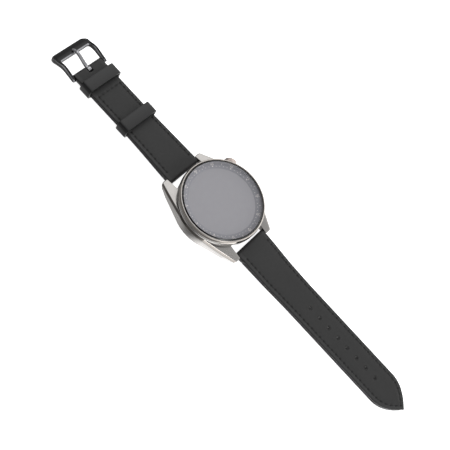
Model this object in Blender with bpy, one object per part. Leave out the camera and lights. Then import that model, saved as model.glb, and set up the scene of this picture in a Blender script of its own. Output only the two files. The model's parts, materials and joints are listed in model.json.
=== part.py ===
"""Smartwatch: round titanium case, glass, crown and side button on a two-piece leather strap.

Dimensions are in millimetres and become metres as each mesh is made.
X points to 3 o'clock, Y to 12 o'clock and Z up through the dial. The origin is the
middle of the flat back window that the watch rests on.
"""
import math

import bmesh
import bpy
from mathutils import Matrix, Vector

MM = 0.001
GAP = 0.3               # clearance between pieces that touch
RUN_GAP = 0.2           # clearance of the thin pins in their holes
ROUND_STEPS = 72        # facets round the case
INNER_STEPS = 48        # facets round what sits inside it
SMALL_STEPS = 24        # facets round pins and holes
ROUND_SHARE = 0.995     # part of a round end's radius that its last ring reaches

# Case, from the back up
CASE_RADIUS = 23.4
CASE_BOTTOM = 2.3
CASE_TOP = 9.1
CASE_EDGE = 0.5         # chamfer round the middle
CASE_WALL = 3.2
CAVITY_RADIUS = CASE_RADIUS - CASE_WALL
SHELF_WIDTH = 2.0
SHELF_RADIUS = CAVITY_RADIUS - SHELF_WIDTH
SHELF_THICKNESS = 1.0
REAR_RIM = 2.2          # case metal round the rear cover, with its gap
REAR_COVER_RADIUS = CASE_RADIUS - REAR_RIM
REAR_COVER_BOTTOM = 1.5
REAR_COVER_TOP = 3.3
REAR_COVER_WALL = 0.7
BACK_WINDOW_RADIUS = 15.5
BACK_WINDOW_EDGE = 1.1  # height of the window's edge over its flat
BACK_KNEE = 0.6         # where the window's slope steepens, as a share of its width
BACK_KNEE_RISE = 0.32   # and of its height
REAR_COVER_EDGE = 1.2
BACK_WINDOW_TOP = 3.0
BACK_WINDOW_FLANGE = 1.1
BACK_FLAT_RADIUS = 9.0
SEAL_THICKNESS = 0.4
SEAL_INSET = 0.1

# Side wings and lugs
WING_PROUD = 1.3
WING_RADIUS = CASE_RADIUS + WING_PROUD
WING_ROOT = 1.0         # how far a wing is sunk into the round wall
WING_CHAMFER = 1.1
WING_EDGE = 0.5
STRAP_WIDTH = 22.0
LUG_GAP = STRAP_WIDTH + 2 * RUN_GAP
LUG_WIDTH = 4.3
LUG_TIP_X = LUG_GAP / 2 + LUG_WIDTH
LUG_REACH = 3.8
LUG_TIP_Y = WING_RADIUS + LUG_REACH
LUG_TIP_TOP = 4.2
LUG_TIP_BOTTOM = 0.8
LUG_TIP_EDGE = 0.4
LUG_END_SLOPE = 1.8
LUG_END_RUN = 6.0       # length over which the end face starts to lean
WING_STEP = 0.1         # from the case's top down to the wings'
BAR_INSET = 1.6
BAR_Y = LUG_TIP_Y - BAR_INSET
BAR_Z = 2.5
BAR_HOLE_DEPTH = 1.6

# Bezel, glass and screen
BEZEL_OVERHANG = 0.7
BEZEL_RADIUS = CASE_RADIUS + BEZEL_OVERHANG
BEZEL_WALL = 1.05
BEZEL_RIM = 0.65
BEZEL_EDGE = 0.3
BEZEL_SLOPE = 1.5       # height of the slope from the rim to the bezel's side
LEDGE_HEIGHT = 2.1
BEZEL_LEDGE = CASE_TOP + LEDGE_HEIGHT
GLASS_RADIUS = BEZEL_RADIUS - BEZEL_WALL - GAP
GLASS_THICKNESS = 1.15
GLASS_EDGE = 0.5
GLASS_PROUD = 0.15
GLASS_UNDER = BEZEL_LEDGE + 5 * GAP     # seal, then the scale ring, each with its gaps
BEZEL_TOP = GLASS_UNDER + GLASS_THICKNESS - GLASS_PROUD
SCALE_WIDTH = 3.85
GLASS_LEDGE = 1.85
SCREEN_RADIUS = GLASS_RADIUS - GLASS_LEDGE
SCREEN_THICKNESS = 0.9

# Inside the case
BOARD_THICKNESS = 0.6
MODULE_GAP = 1.3
MODULE_RADIUS = SHELF_RADIUS - MODULE_GAP
MODULE_RING = 3.7       # room round the battery for the motor and the speaker
BATTERY_RADIUS = MODULE_RADIUS - MODULE_RING
BATTERY_EDGE = 0.4
COIL_INNER_RADIUS = 9.5
COIL_RADIUS = 14.5
MOTOR_RADIUS = 2.2
SPEAKER_WIDTH = 7.0
SPEAKER_REACH = 2.0
FRAME_THICKNESS = 0.8
FRAME_RING = 3.0
SCREW_RING = 1.0        # screws' distance outside the shelf's edge
SCREW_CIRCLE = SHELF_RADIUS + SCREW_RING
SCREW_RADIUS = 0.45
SCREW_HEAD_RADIUS = 0.85
SCREW_HEAD_HEIGHT = 0.4
SCREW_COUNT = 4
SCREW_TURN = 10.0       # degrees

# Crown and side button
CROWN_ANGLE = 30.0
CROWN_DROP = 1.7
CROWN_Z = CASE_TOP - CROWN_DROP
CROWN_RADIUS = 3.5
CROWN_LENGTH = 3.2
CROWN_CLEARANCE = 1.0
CROWN_REACH = BEZEL_RADIUS + CROWN_CLEARANCE + CROWN_LENGTH
CROWN_TRAVEL = 0.6
CROWN_EDGE = 0.3
CROWN_RECESS = 1.3
CROWN_DOME = 1.3        # length of the domed end
CROWN_POCKET_GAP = 0.5
STEM_RADIUS = 0.6
STEM_TAIL = 0.9         # stem's inner end, outside the boards
COLLAR_RADIUS = 1.4
COLLAR_LENGTH = 0.7
CROWN_TUBE_BACK = 0.15
CROWN_TUBE_RADIUS = 1.35
BUTTON_ANGLE = -30.0
BUTTON_LENGTH = 6.4
BUTTON_HEIGHT = 2.4
BUTTON_TRAVEL = 0.4
BUTTON_PROUD = 0.3
BUTTON_SINK = 0.9
BUTTON_STEM_TAIL = 0.6
SWITCH_GAP = 0.1
SWITCH_DEPTH = 1.4
SWITCH_WIDTH = 3.0
SWITCH_HEIGHT = 2.0

# Strap leather
STRAP_NARROW_WIDTH = 20.0
STRAP_TAPER = 38.0
LUG_END_THICKNESS = 3.8
STRAP_THICKNESS = 3.0
LEATHER_LAYER = 1.5
STRAP_CHAMFER = 0.5
LINING_START = 7.0      # distance from the spring bar
FOLD_RUN = 6.0          # the leather is whole as far as this from the spring bar

# Buckle half, measured along the strap
UPPER_LENGTH = 74.1     # spring bar to buckle bar
BUCKLE_BAR_RADIUS = 0.65
BAR_FOLD_GAP = 0.6
BAR_FOLD_RUN = 9.0      # the leather is whole from this far before its fold
SPLIT_RUN = 3.0
KEEPER_WIDTH = 7.0
KEEPER_WALL = 1.1
KEEPER_SIDE_GAP = 0.12      # beside the strap where it is widest in the sliding keeper
KEEPER_ROOM = 2.4
KEEPER_CORNER = 1.2
FIXED_KEEPER_BACK = 8.9     # from the buckle bar back to the keeper's middle
SLIDING_KEEPER_BACK = 37.3
KEEPER_BACK_TRAVEL = 8.0    # the sliding keeper's way towards the case
BUCKLE_LENGTH = 17.2
BUCKLE_ARM = 1.9
BUCKLE_ARM_BACK = 1.55
BUCKLE_FRONT_BAR = 5.9
BUCKLE_CORNER = 2.6
BUCKLE_INNER_CORNER = 1.2
BUCKLE_EDGE = 0.55
BUCKLE_SKIN = 0.4       # metal left outside the bar's ends
BUCKLE_ARCH = 7.5       # from the bar to the highest part of the arms
BUCKLE_CREST = 1.8
BUCKLE_BACK = 2.0       # the arms are level as far as this behind the bar
BUCKLE_NECK = 4.0       # from the front back to the top of its slope
BUCKLE_NECK_RISE = 0.1
BUCKLE_ARM_LIFT = 1.3   # rise of the arms' underside
BUCKLE_BAR_RISE = 1.6
BUCKLE_BAR_DROP = 1.2
BUCKLE_FRONT_HEIGHT = 2.6
TONGUE_WIDTH = 2.1
TONGUE_SLOT = 3.0
TONGUE_SLOT_BACK = 2.3
TONGUE_WALL = 0.85
TONGUE_HEIGHT = 1.3
TONGUE_TIP_HEIGHT = 0.7
TONGUE_EDGE = 0.35
TONGUE_HOOK = 2.4       # how far the tip lies on the front bar
TONGUE_LANDING = 1.0    # the arm levels out this far before the front bar
TONGUE_TAPER = 0.2      # off each side at the tip

# Tail half, measured along the strap
LOWER_LENGTH = 119.7    # spring bar to tip
TAIL_POINT_LENGTH = 17.0
TAIL_TIP_HALF = 0.35
TAIL_CURVE = 2.2
LINING_INSET = 0.2
LINING_TIP_INSET = 0.6
LAST_HOLE_BACK = 22.8   # from the tip
HOLE_PITCH = 7.2
HOLE_COUNT = 8
HOLE_RADIUS = 0.9

# Spring bars
TUBE_RADIUS = 0.85
TUBE_WALL = 0.25
TUBE_END_GAP = 0.5
TUBE_BLIND_X = -3.0
PIN_RADIUS = 0.4
PIN_REACH = 1.1
PIN_INNER_X = -1.0
KNOB_X = 7.8
KNOB_RADIUS = 0.45
RELEASE_TRAVEL = 1.4


# Tools that cut a hole pass this far beyond the surface.
CUTTER_REACH = 4.0


# Mesh builders ---------------------------------------------------------------

def lerp(a, b, t):
    return a + (b - a) * t


def smooth(t):
    t = min(max(t, 0.0), 1.0)
    return t * t * (3 - 2 * t)


def ramp(values, position):
    """Value at a position from (position, value) pairs, eased between neighbours."""
    if position <= values[0][0]:
        return values[0][1]
    for (p0, v0), (p1, v1) in zip(values, values[1:]):
        if position <= p1:
            return lerp(v0, v1, smooth((position - p0) / (p1 - p0)))
    return values[-1][1]


def skin(sections, closed=False):
    """Join rings of points into a closed body; open runs get end caps."""
    bm = bmesh.new()
    rings = [[bm.verts.new(point) for point in section] for section in sections]
    pairs = list(zip(rings, rings[1:]))
    if closed:
        pairs.append((rings[-1], rings[0]))
    for ring_a, ring_b in pairs:
        count = len(ring_a)
        for i in range(count):
            j = (i + 1) % count
            bm.faces.new((ring_a[i], ring_a[j], ring_b[j], ring_b[i]))
    if not closed:
        bm.faces.new(rings[0])
        bm.faces.new(rings[-1])
    bmesh.ops.recalc_face_normals(bm, faces=bm.faces)
    return bm


def turned(profile, steps=ROUND_STEPS, axis="Z"):
    """Turn a closed (radius, height) outline about the axis; radius 0 is its middle."""
    bm = bmesh.new()
    rings = []
    for radius, height in profile:
        turns = [0] if radius == 0 else range(steps)
        ring = []
        for k in turns:
            angle = 2 * math.pi * k / steps
            point = Vector((radius * math.cos(angle), radius * math.sin(angle), height))
            ring.append(bm.verts.new(point))
        rings.append(ring)
    for ring_a, ring_b in zip(rings, rings[1:] + rings[:1]):
        for k in range(steps):
            corners = [ring_a[k % len(ring_a)], ring_a[(k + 1) % steps % len(ring_a)],
                       ring_b[(k + 1) % steps % len(ring_b)], ring_b[k % len(ring_b)]]
            corners = list(dict.fromkeys(corners))
            if len(corners) > 2:
                bm.faces.new(corners)
    bmesh.ops.recalc_face_normals(bm, faces=bm.faces)
    if axis == "X":
        bmesh.ops.transform(bm, matrix=Matrix.Rotation(math.pi / 2, 4, "Y"), verts=bm.verts)
    return bm


def disc(radius, bottom, top, steps=ROUND_STEPS):
    return turned([(0, bottom), (radius, bottom), (radius, top), (0, top)], steps)


def ring(inner, outer, bottom, top, steps=ROUND_STEPS):
    return turned([(inner, bottom), (outer, bottom), (outer, top), (inner, top)], steps)


def rod_x(radius, start, end, y=0.0, z=0.0, steps=SMALL_STEPS):
    bm = disc(radius, start, end, steps)
    bmesh.ops.transform(bm, matrix=Matrix.Rotation(math.pi / 2, 4, "Y"), verts=bm.verts)
    bmesh.ops.translate(bm, vec=(0, y, z), verts=bm.verts)
    return bm


def block(low, high):
    (x0, y0, z0), (x1, y1, z1) = low, high
    bottom = [(x0, y0, z0), (x1, y0, z0), (x1, y1, z0), (x0, y1, z0)]
    top = [(x, y, z1) for x, y, _ in bottom]
    return skin([bottom, top])


def joined(parts):
    """Put separate bodies into one mesh."""
    whole = bmesh.new()
    for part in parts:
        scratch = bpy.data.meshes.new("scratch")
        part.to_mesh(scratch)
        part.free()
        whole.from_mesh(scratch)
        bpy.data.meshes.remove(scratch)
    return whole


def moved(bm, x=0.0, y=0.0, z=0.0):
    bmesh.ops.translate(bm, vec=(x, y, z), verts=bm.verts)
    return bm


# Scene objects ---------------------------------------------------------------

def material(name, colour, roughness, metallic=0.0):
    finish = bpy.data.materials.new(name)
    finish.use_nodes = True
    shader = finish.node_tree.nodes["Principled BSDF"]
    shader.inputs["Base Color"].default_value = (*colour, 1.0)
    shader.inputs["Roughness"].default_value = roughness
    shader.inputs["Metallic"].default_value = metallic
    finish.diffuse_color = (*colour, 1.0)
    return finish


def body(name, position=(0, 0, 0), turn=0.0, parent=None):
    """An empty on a joint's axis; its pieces are modelled in its own axes."""
    empty = bpy.data.objects.new(name, None)
    empty.location = Vector(position) * MM
    empty.rotation_euler = (0, 0, math.radians(turn))
    empty.parent = parent
    bpy.context.scene.collection.objects.link(empty)
    return empty


def piece(name, bm, finish, parent):
    bmesh.ops.scale(bm, vec=(MM, MM, MM), verts=bm.verts)
    mesh = bpy.data.meshes.new(name)
    bm.to_mesh(mesh)
    bm.free()
    mesh.materials.append(finish)
    mesh.shade_smooth()
    mesh.set_sharp_from_angle(angle=math.radians(30))
    obj = bpy.data.objects.new(name, mesh)
    obj.parent = parent
    bpy.context.scene.collection.objects.link(obj)
    return obj


def combine(obj, bm, operation="DIFFERENCE"):
    """Cut or add a hidden body in the same axes as the piece."""
    bmesh.ops.scale(bm, vec=(MM, MM, MM), verts=bm.verts)
    tool_name = obj.name + "_" + operation.lower()
    mesh = bpy.data.meshes.new(tool_name)
    bm.to_mesh(mesh)
    bm.free()
    tool = bpy.data.objects.new(tool_name, mesh)
    tool.parent = obj.parent
    tool.hide_render = True
    tool.display_type = "WIRE"
    bpy.context.scene.collection.objects.link(tool)
    modifier = obj.modifiers.new(operation.title(), "BOOLEAN")
    modifier.operation = operation
    modifier.solver = "EXACT"
    modifier.object = tool


# Case ------------------------------------------------------------------------

def wing_tangent():
    """Where the straight side to the lug tip leaves the round of the wing."""
    reach = math.hypot(LUG_TIP_X, LUG_TIP_Y)
    angle = math.atan2(LUG_TIP_Y, LUG_TIP_X) - math.acos(WING_RADIUS / reach)
    return WING_RADIUS * math.cos(angle), WING_RADIUS * math.sin(angle)


def wing_outer_x(y):
    tangent_x, tangent_y = wing_tangent()
    if abs(y) <= tangent_y:
        return math.sqrt(WING_RADIUS ** 2 - y * y)
    return lerp(tangent_x, LUG_TIP_X, (abs(y) - tangent_y) / (LUG_TIP_Y - tangent_y))


def wing_inner_x(y):
    """Buried in the round wall near the middle, then the lug's inner face."""
    buried = CASE_RADIUS - WING_ROOT
    if abs(y) >= buried:
        return LUG_GAP / 2
    return max(LUG_GAP / 2, math.sqrt(buried ** 2 - y * y))


def wing_heights(y):
    """Bottom and top of the wing, drooping towards the lug tip."""
    _, tangent_y = wing_tangent()
    along = max(0.0, (abs(y) - tangent_y) / (LUG_TIP_Y - tangent_y))
    top = lerp(CASE_TOP - WING_STEP, LUG_TIP_TOP, along ** 0.85)
    bottom = lerp(CASE_BOTTOM, LUG_TIP_BOTTOM, along ** 1.3)
    return bottom, top


def wing_section(y, side, inset=0.0):
    """Outline across the wing; the end face leans in towards the bottom."""
    inner = wing_inner_x(y) + inset
    outer = wing_outer_x(y) - inset
    bottom, top = wing_heights(y)
    bottom += inset
    top -= inset
    along_end = (abs(y) - BAR_Y + LUG_END_RUN) / (BAR_INSET + LUG_END_RUN)
    end_lean = smooth(along_end) * LUG_END_SLOPE
    outline = [(inner, bottom), (outer - WING_EDGE, bottom), (outer, bottom + WING_EDGE),
               (outer, top - WING_CHAMFER * 0.75), (outer - WING_CHAMFER, top), (inner, top)]
    points = []
    for x, z in outline:
        lean = end_lean * (top - z) / (top - bottom)
        points.append((side * x, math.copysign(abs(y) - lean, y) if y else 0.0, z))
    return points


def wing(side):
    shares = [0.0, 0.14, 0.28, 0.39, 0.49, 0.6, 0.67, 0.74, 0.81, 0.88, 0.95]
    half = [(LUG_TIP_Y * share, 0.0) for share in shares]
    half += [(LUG_TIP_Y - LUG_TIP_EDGE, 0.0), (LUG_TIP_Y, LUG_TIP_EDGE)]
    whole = [(-y, inset) for y, inset in reversed(half[1:])] + half
    return skin([wing_section(y, side, inset) for y, inset in whole])


def crown_pocket():
    pocket = rod_x(CROWN_RADIUS + CROWN_POCKET_GAP, BEZEL_RADIUS, CROWN_REACH + 4, z=CROWN_Z, steps=36)
    passage = rod_x(CROWN_TUBE_RADIUS + GAP, SHELF_RADIUS - 2, BEZEL_RADIUS + 1, z=CROWN_Z)
    return spun_to(pocket, CROWN_ANGLE), spun_to(passage, CROWN_ANGLE)


def spun_to(bm, angle):
    turn = Matrix.Rotation(math.radians(angle), 4, "Z")
    bmesh.ops.transform(bm, matrix=turn, verts=bm.verts)
    return bm


def pill(length, height, start, end, steps=8):
    """A bar with round ends, its long side along Y, running from start to end in X."""
    radius = height / 2
    outline = []
    for centre, first in ((length / 2 - radius, 0.0), (radius - length / 2, math.pi)):
        for k in range(steps + 1):
            angle = first + math.pi * k / steps
            outline.append((centre + radius * math.sin(angle), radius * math.cos(angle)))
    return skin([[(start, y, z) for y, z in outline], [(end, y, z) for y, z in outline]])


def screw_place(number):
    angle = 360 / SCREW_COUNT * number + SCREW_TURN
    x, y, _ = turned_point(angle, SCREW_CIRCLE, 0)
    return x, y


def shelf_holes(bottom, top, radius):
    """Cutters for the screws round the inner frame."""
    holes = [moved(disc(radius, bottom, top, 16), *screw_place(k)) for k in range(SCREW_COUNT)]
    return joined(holes)


def rear_ledge():
    return REAR_COVER_TOP + GAP + SEAL_THICKNESS + GAP


def make_mid_case(case, titanium):
    opening = REAR_COVER_RADIUS + GAP
    shelf = CASE_TOP - SHELF_THICKNESS
    edge = CASE_RADIUS - CASE_EDGE
    wall = [(opening, CASE_BOTTOM), (edge, CASE_BOTTOM), (CASE_RADIUS, CASE_BOTTOM + CASE_EDGE),
            (CASE_RADIUS, CASE_TOP - CASE_EDGE), (edge, CASE_TOP), (SHELF_RADIUS, CASE_TOP),
            (SHELF_RADIUS, shelf), (CAVITY_RADIUS, shelf), (CAVITY_RADIUS, rear_ledge()),
            (opening, rear_ledge())]
    mid_case = piece("mid_case", turned(wall), titanium, case)
    for side in (-1, 1):
        combine(mid_case, wing(side), "UNION")
    reach = LUG_GAP / 2 + BAR_HOLE_DEPTH
    bar_holes = [rod_x(PIN_RADIUS + RUN_GAP, -reach, reach, y, BAR_Z) for y in (-BAR_Y, BAR_Y)]
    combine(mid_case, joined(bar_holes))
    for cutter in crown_pocket():
        combine(mid_case, cutter)
    recess = pill(BUTTON_LENGTH + 2 * GAP, BUTTON_HEIGHT + 2 * GAP, button_seat(), WING_RADIUS + CUTTER_REACH)
    stem_hole = rod_x(STEM_RADIUS + GAP, SHELF_RADIUS - CUTTER_REACH, button_seat() + CUTTER_REACH)
    for cutter in (recess, stem_hole):
        combine(mid_case, spun_to(moved(cutter, z=button_z()), BUTTON_ANGLE))
    combine(mid_case, shelf_holes(shelf - 1, CASE_TOP + 1, SCREW_RADIUS + GAP))


def make_back(case, finishes):
    window_bore = BACK_WINDOW_RADIUS + GAP
    flange = BACK_WINDOW_RADIUS + BACK_WINDOW_FLANGE
    step = REAR_COVER_BOTTOM + REAR_COVER_WALL
    cover = [(window_bore, REAR_COVER_BOTTOM - GAP), (REAR_COVER_RADIUS - REAR_COVER_EDGE, REAR_COVER_BOTTOM),
             (REAR_COVER_RADIUS, step), (REAR_COVER_RADIUS, REAR_COVER_TOP),
             (flange + GAP, REAR_COVER_TOP), (flange + GAP, step), (window_bore, step)]
    piece("rear_cover", turned(cover, INNER_STEPS), finishes["ceramic"], case)
    rim = BACK_WINDOW_RADIUS
    window = [(0, 0), (BACK_FLAT_RADIUS, 0),
              (lerp(BACK_FLAT_RADIUS, rim, BACK_KNEE), BACK_WINDOW_EDGE * BACK_KNEE_RISE),
              (rim, BACK_WINDOW_EDGE),
              (rim, step + GAP), (flange, step + GAP), (flange, BACK_WINDOW_TOP), (0, BACK_WINDOW_TOP)]
    piece("sensor_window", turned(window, INNER_STEPS), finishes["dark_glass"], case)
    seal_bottom = REAR_COVER_TOP + GAP
    seal_top = seal_bottom + SEAL_THICKNESS
    seal = ring(CAVITY_RADIUS + SEAL_INSET, REAR_COVER_RADIUS - SEAL_INSET, seal_bottom, seal_top,
                INNER_STEPS)
    piece("rear_gasket", seal, finishes["rubber"], case)


def make_bezel_and_glass(case, finishes):
    bottom = CASE_TOP + GAP
    inner = GLASS_RADIUS + GAP
    bore = SCREEN_RADIUS + GAP
    rim = inner + BEZEL_RIM
    profile = [(bore, bottom), (CASE_RADIUS, bottom), (BEZEL_RADIUS, bottom + BEZEL_OVERHANG),
               (BEZEL_RADIUS, BEZEL_TOP - BEZEL_SLOPE), (rim, BEZEL_TOP - BEZEL_EDGE),
               (rim - BEZEL_EDGE, BEZEL_TOP), (inner, BEZEL_TOP), (inner, BEZEL_LEDGE),
               (bore, BEZEL_LEDGE)]
    piece("bezel_ring", turned(profile), finishes["titanium"], case)
    seal_bottom = BEZEL_LEDGE + GAP
    scale_radius = GLASS_RADIUS - SEAL_INSET
    seal = ring(bore + GAP, scale_radius, seal_bottom, seal_bottom + GAP, INNER_STEPS)
    piece("glass_gasket", seal, finishes["rubber"], case)
    scale_bottom = seal_bottom + GAP + GAP
    scale_top = scale_bottom + GAP
    scale = ring(scale_radius - SCALE_WIDTH, scale_radius, scale_bottom, scale_top, INNER_STEPS)
    piece("minute_scale_ring", scale, finishes["dial"], case)
    top = GLASS_UNDER + GLASS_THICKNESS
    glass = [(0, GLASS_UNDER), (GLASS_RADIUS, GLASS_UNDER), (GLASS_RADIUS, top - 0.7 * GLASS_EDGE),
             (GLASS_RADIUS - GLASS_EDGE, top), (0, top)]
    piece("cover_glass", turned(glass), finishes["glass"], case)
    screen_top = scale_bottom - GAP
    screen = disc(SCREEN_RADIUS, screen_top - SCREEN_THICKNESS, screen_top, INNER_STEPS)
    piece("display_panel", screen, finishes["screen"], case)


def make_inside(case, finishes):
    """The stack in the cavity, from the sensor board up to the frame under the screen."""
    level = BACK_WINDOW_TOP + GAP
    sensor_board = disc(COIL_INNER_RADIUS - 0.5, level, level + BOARD_THICKNESS, INNER_STEPS)
    piece("sensor_board", sensor_board, finishes["board"], case)
    coil = ring(COIL_INNER_RADIUS, COIL_RADIUS, level, level + BOARD_THICKNESS, INNER_STEPS)
    piece("charging_coil", coil, finishes["copper"], case)
    level += BOARD_THICKNESS + GAP
    board_top = CASE_TOP - SHELF_THICKNESS
    board_bottom = board_top - BOARD_THICKNESS
    top = board_bottom - GAP
    edge = BATTERY_RADIUS - BATTERY_EDGE
    battery = [(0, level), (edge, level), (BATTERY_RADIUS, level + BATTERY_EDGE),
               (BATTERY_RADIUS, top - BATTERY_EDGE), (edge, top), (0, top)]
    piece("battery", turned(battery, INNER_STEPS), finishes["foil"], case)
    low_top = top - BATTERY_EDGE
    motor = disc(MOTOR_RADIUS, level, low_top, 32)
    piece("vibration_motor", moved(motor, -BATTERY_RADIUS - GAP - MOTOR_RADIUS), finishes["steel"], case)
    speaker = block((-SPEAKER_WIDTH / 2, -MODULE_RADIUS - SPEAKER_REACH, level),
                    (SPEAKER_WIDTH / 2, -BATTERY_RADIUS - GAP, low_top))
    piece("speaker", speaker, finishes["plastic"], case)
    main_board = disc(MODULE_RADIUS, board_bottom, board_top, INNER_STEPS)
    piece("main_board", main_board, finishes["board"], case)
    make_inner_frame(case, finishes)


def make_inner_frame(case, finishes):
    """The ring that carries the screen, and the four screws that hold it to the shelf."""
    bottom = CASE_TOP + GAP
    top = bottom + FRAME_THICKNESS
    sink = top - SCREW_HEAD_HEIGHT
    outline = ring(MODULE_RADIUS - FRAME_RING, SCREEN_RADIUS, bottom, top, INNER_STEPS)
    frame = piece("inner_frame", outline, finishes["plastic"], case)
    combine(frame, shelf_holes(bottom - 1, top + 1, SCREW_RADIUS + GAP))
    combine(frame, shelf_holes(sink, top + 1, SCREW_HEAD_RADIUS + GAP))
    foot = CASE_TOP - SHELF_THICKNESS
    head = sink + GAP
    screw = [(0, foot), (SCREW_RADIUS, foot), (SCREW_RADIUS, head), (SCREW_HEAD_RADIUS, head),
             (SCREW_HEAD_RADIUS, head + SCREW_HEAD_HEIGHT), (0, head + SCREW_HEAD_HEIGHT)]
    for k in range(SCREW_COUNT):
        bm = moved(turned(screw, 12), *screw_place(k))
        piece("frame_screw_%d" % (k + 1), bm, finishes["steel"], case)


# Crown and side button -------------------------------------------------------

def make_crown(case, finishes):
    """Modelled along its own X axis, which points out of the case."""
    slide = body("crown_slide", turned_point(CROWN_ANGLE, 0, CROWN_Z), CROWN_ANGLE, case)
    crown = body("crown", parent=slide)
    steel = finishes["steel"]
    back = CROWN_REACH - CROWN_LENGTH
    bore = STEM_RADIUS + GAP
    tube_end = back + CROWN_RECESS / 2 - CROWN_TUBE_BACK - CROWN_TRAVEL
    tube = turned([(bore, CAVITY_RADIUS), (CROWN_TUBE_RADIUS, CAVITY_RADIUS),
                   (CROWN_TUBE_RADIUS, tube_end), (bore, tube_end)], SMALL_STEPS, "X")
    piece("crown_tube", moved(spun_to(tube, CROWN_ANGLE), z=CROWN_Z), steel, case)
    stem_inner = MODULE_RADIUS + STEM_TAIL
    collar_start = stem_inner + GAP
    collar_end = collar_start + COLLAR_LENGTH
    collar = turned([(bore, collar_start), (COLLAR_RADIUS, collar_start),
                     (COLLAR_RADIUS, collar_end), (bore, collar_end)], SMALL_STEPS, "X")
    piece("crown_collar", collar, steel, slide)
    floor = back + CROWN_RECESS
    recess = CROWN_TUBE_RADIUS + CROWN_RECESS
    cap = [(0, floor), (recess, floor), (recess, back), (CROWN_RADIUS - CROWN_EDGE, back),
           (CROWN_RADIUS, back + CROWN_EDGE), (CROWN_RADIUS, CROWN_REACH - CROWN_DOME),
           (CROWN_RADIUS * 0.9, CROWN_REACH - CROWN_DOME * 0.58),
           (CROWN_RADIUS * 0.62, CROWN_REACH - CROWN_DOME * 0.15), (0, CROWN_REACH)]
    piece("crown_cap", turned(cap, 40, "X"), finishes["polished"], crown)
    stem = rod_x(STEM_RADIUS, stem_inner, floor - GAP)
    piece("crown_stem", stem, steel, crown)
    seal_inner = CROWN_TUBE_RADIUS + GAP
    seal_outer = recess - GAP
    seal_start = back + RUN_GAP
    seal_end = seal_start + 0.6
    seal = turned([(seal_inner, seal_start), (seal_outer, seal_start),
                   (seal_outer, seal_end), (seal_inner, seal_end)], SMALL_STEPS, "X")
    piece("crown_seal", seal, finishes["rubber"], crown)


def turned_point(angle, reach, z):
    return (reach * math.cos(math.radians(angle)), reach * math.sin(math.radians(angle)), z)


def button_seat():
    """Distance from the watch's middle to the bottom of the button's recess."""
    return CASE_RADIUS - BUTTON_SINK


def button_z():
    return (CASE_TOP + CASE_BOTTOM) / 2


def button_face():
    """Distance from the middle to the wing's side at the button's angle."""
    tangent_x, tangent_y = wing_tangent()
    slope = math.tan(math.radians(abs(BUTTON_ANGLE)))
    run_x = LUG_TIP_X - tangent_x
    run_y = LUG_TIP_Y - tangent_y
    along = (slope * tangent_x - tangent_y) / (run_y - slope * run_x)
    if along < 0:
        return WING_RADIUS
    return math.hypot(tangent_x + run_x * along, tangent_y + run_y * along)


def make_button(case, finishes):
    side_button = body("side_button", turned_point(BUTTON_ANGLE, 0, button_z()), BUTTON_ANGLE, case)
    back = button_seat() + BUTTON_TRAVEL + GAP
    cap = pill(BUTTON_LENGTH, BUTTON_HEIGHT, back, button_face() + BUTTON_PROUD)
    piece("button_cap", cap, finishes["titanium"], side_button)
    stem_inner = CAVITY_RADIUS - BUTTON_STEM_TAIL
    piece("button_stem", rod_x(STEM_RADIUS, stem_inner, back - GAP), finishes["steel"], side_button)
    face = stem_inner - BUTTON_TRAVEL - SWITCH_GAP
    switch = block((face - SWITCH_DEPTH, -SWITCH_WIDTH / 2, -SWITCH_HEIGHT / 2),
                   (face, SWITCH_WIDTH / 2, SWITCH_HEIGHT / 2))
    piece("button_switch", spun_to(moved(switch, z=button_z()), BUTTON_ANGLE), finishes["plastic"], case)


# Strap -----------------------------------------------------------------------

def strap_width(y):
    """Width at a distance from the spring bar."""
    along = min(max(y / STRAP_TAPER, 0.0), 1.0)
    return lerp(STRAP_WIDTH, STRAP_NARROW_WIDTH, along)


def strap_levels(y, level):
    """Bottom and top of the whole strap at a distance from the spring bar."""
    thickness = ramp([(4, LUG_END_THICKNESS), (30, STRAP_THICKNESS)], y)
    middle = ramp([(2, 0.0), (24, level)], y)
    end_radius = LUG_END_THICKNESS / 2
    if y < 0:
        thickness *= math.sqrt(max(0.0, 1 - (y / end_radius) ** 2))
    return middle - thickness / 2, middle + thickness / 2


def strap_section(y, half_width, bottom, top):
    chamfer = min(STRAP_CHAMFER, (top - bottom) * 0.35, half_width * 0.5)
    return [(-half_width + chamfer, y, bottom), (half_width - chamfer, y, bottom),
            (half_width, y, bottom + chamfer), (half_width, y, top - chamfer),
            (half_width - chamfer, y, top), (-half_width + chamfer, y, top),
            (-half_width, y, top - chamfer), (-half_width, y, bottom + chamfer)]


def round_end(radius, steps=6):
    """Distances from the middle of a round end out to its tip, a hair short of closed."""
    return [radius * math.sin(math.pi / 2 * k / steps) * ROUND_SHARE for k in range(steps + 1)]


def folded_end():
    """Stations round the spring bar, where the leather is one thick piece, up to its fold."""
    tip_first = [-y for y in reversed(round_end(LUG_END_THICKNESS / 2))]
    return tip_first + [FOLD_RUN / 2, FOLD_RUN * 0.75]


def split_bottom(bottom, top, layer):
    """Underside of the leather: the whole strap's at 0, above the lining at 1."""
    return lerp(bottom, top - LEATHER_LAYER + GAP / 2, layer)


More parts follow.
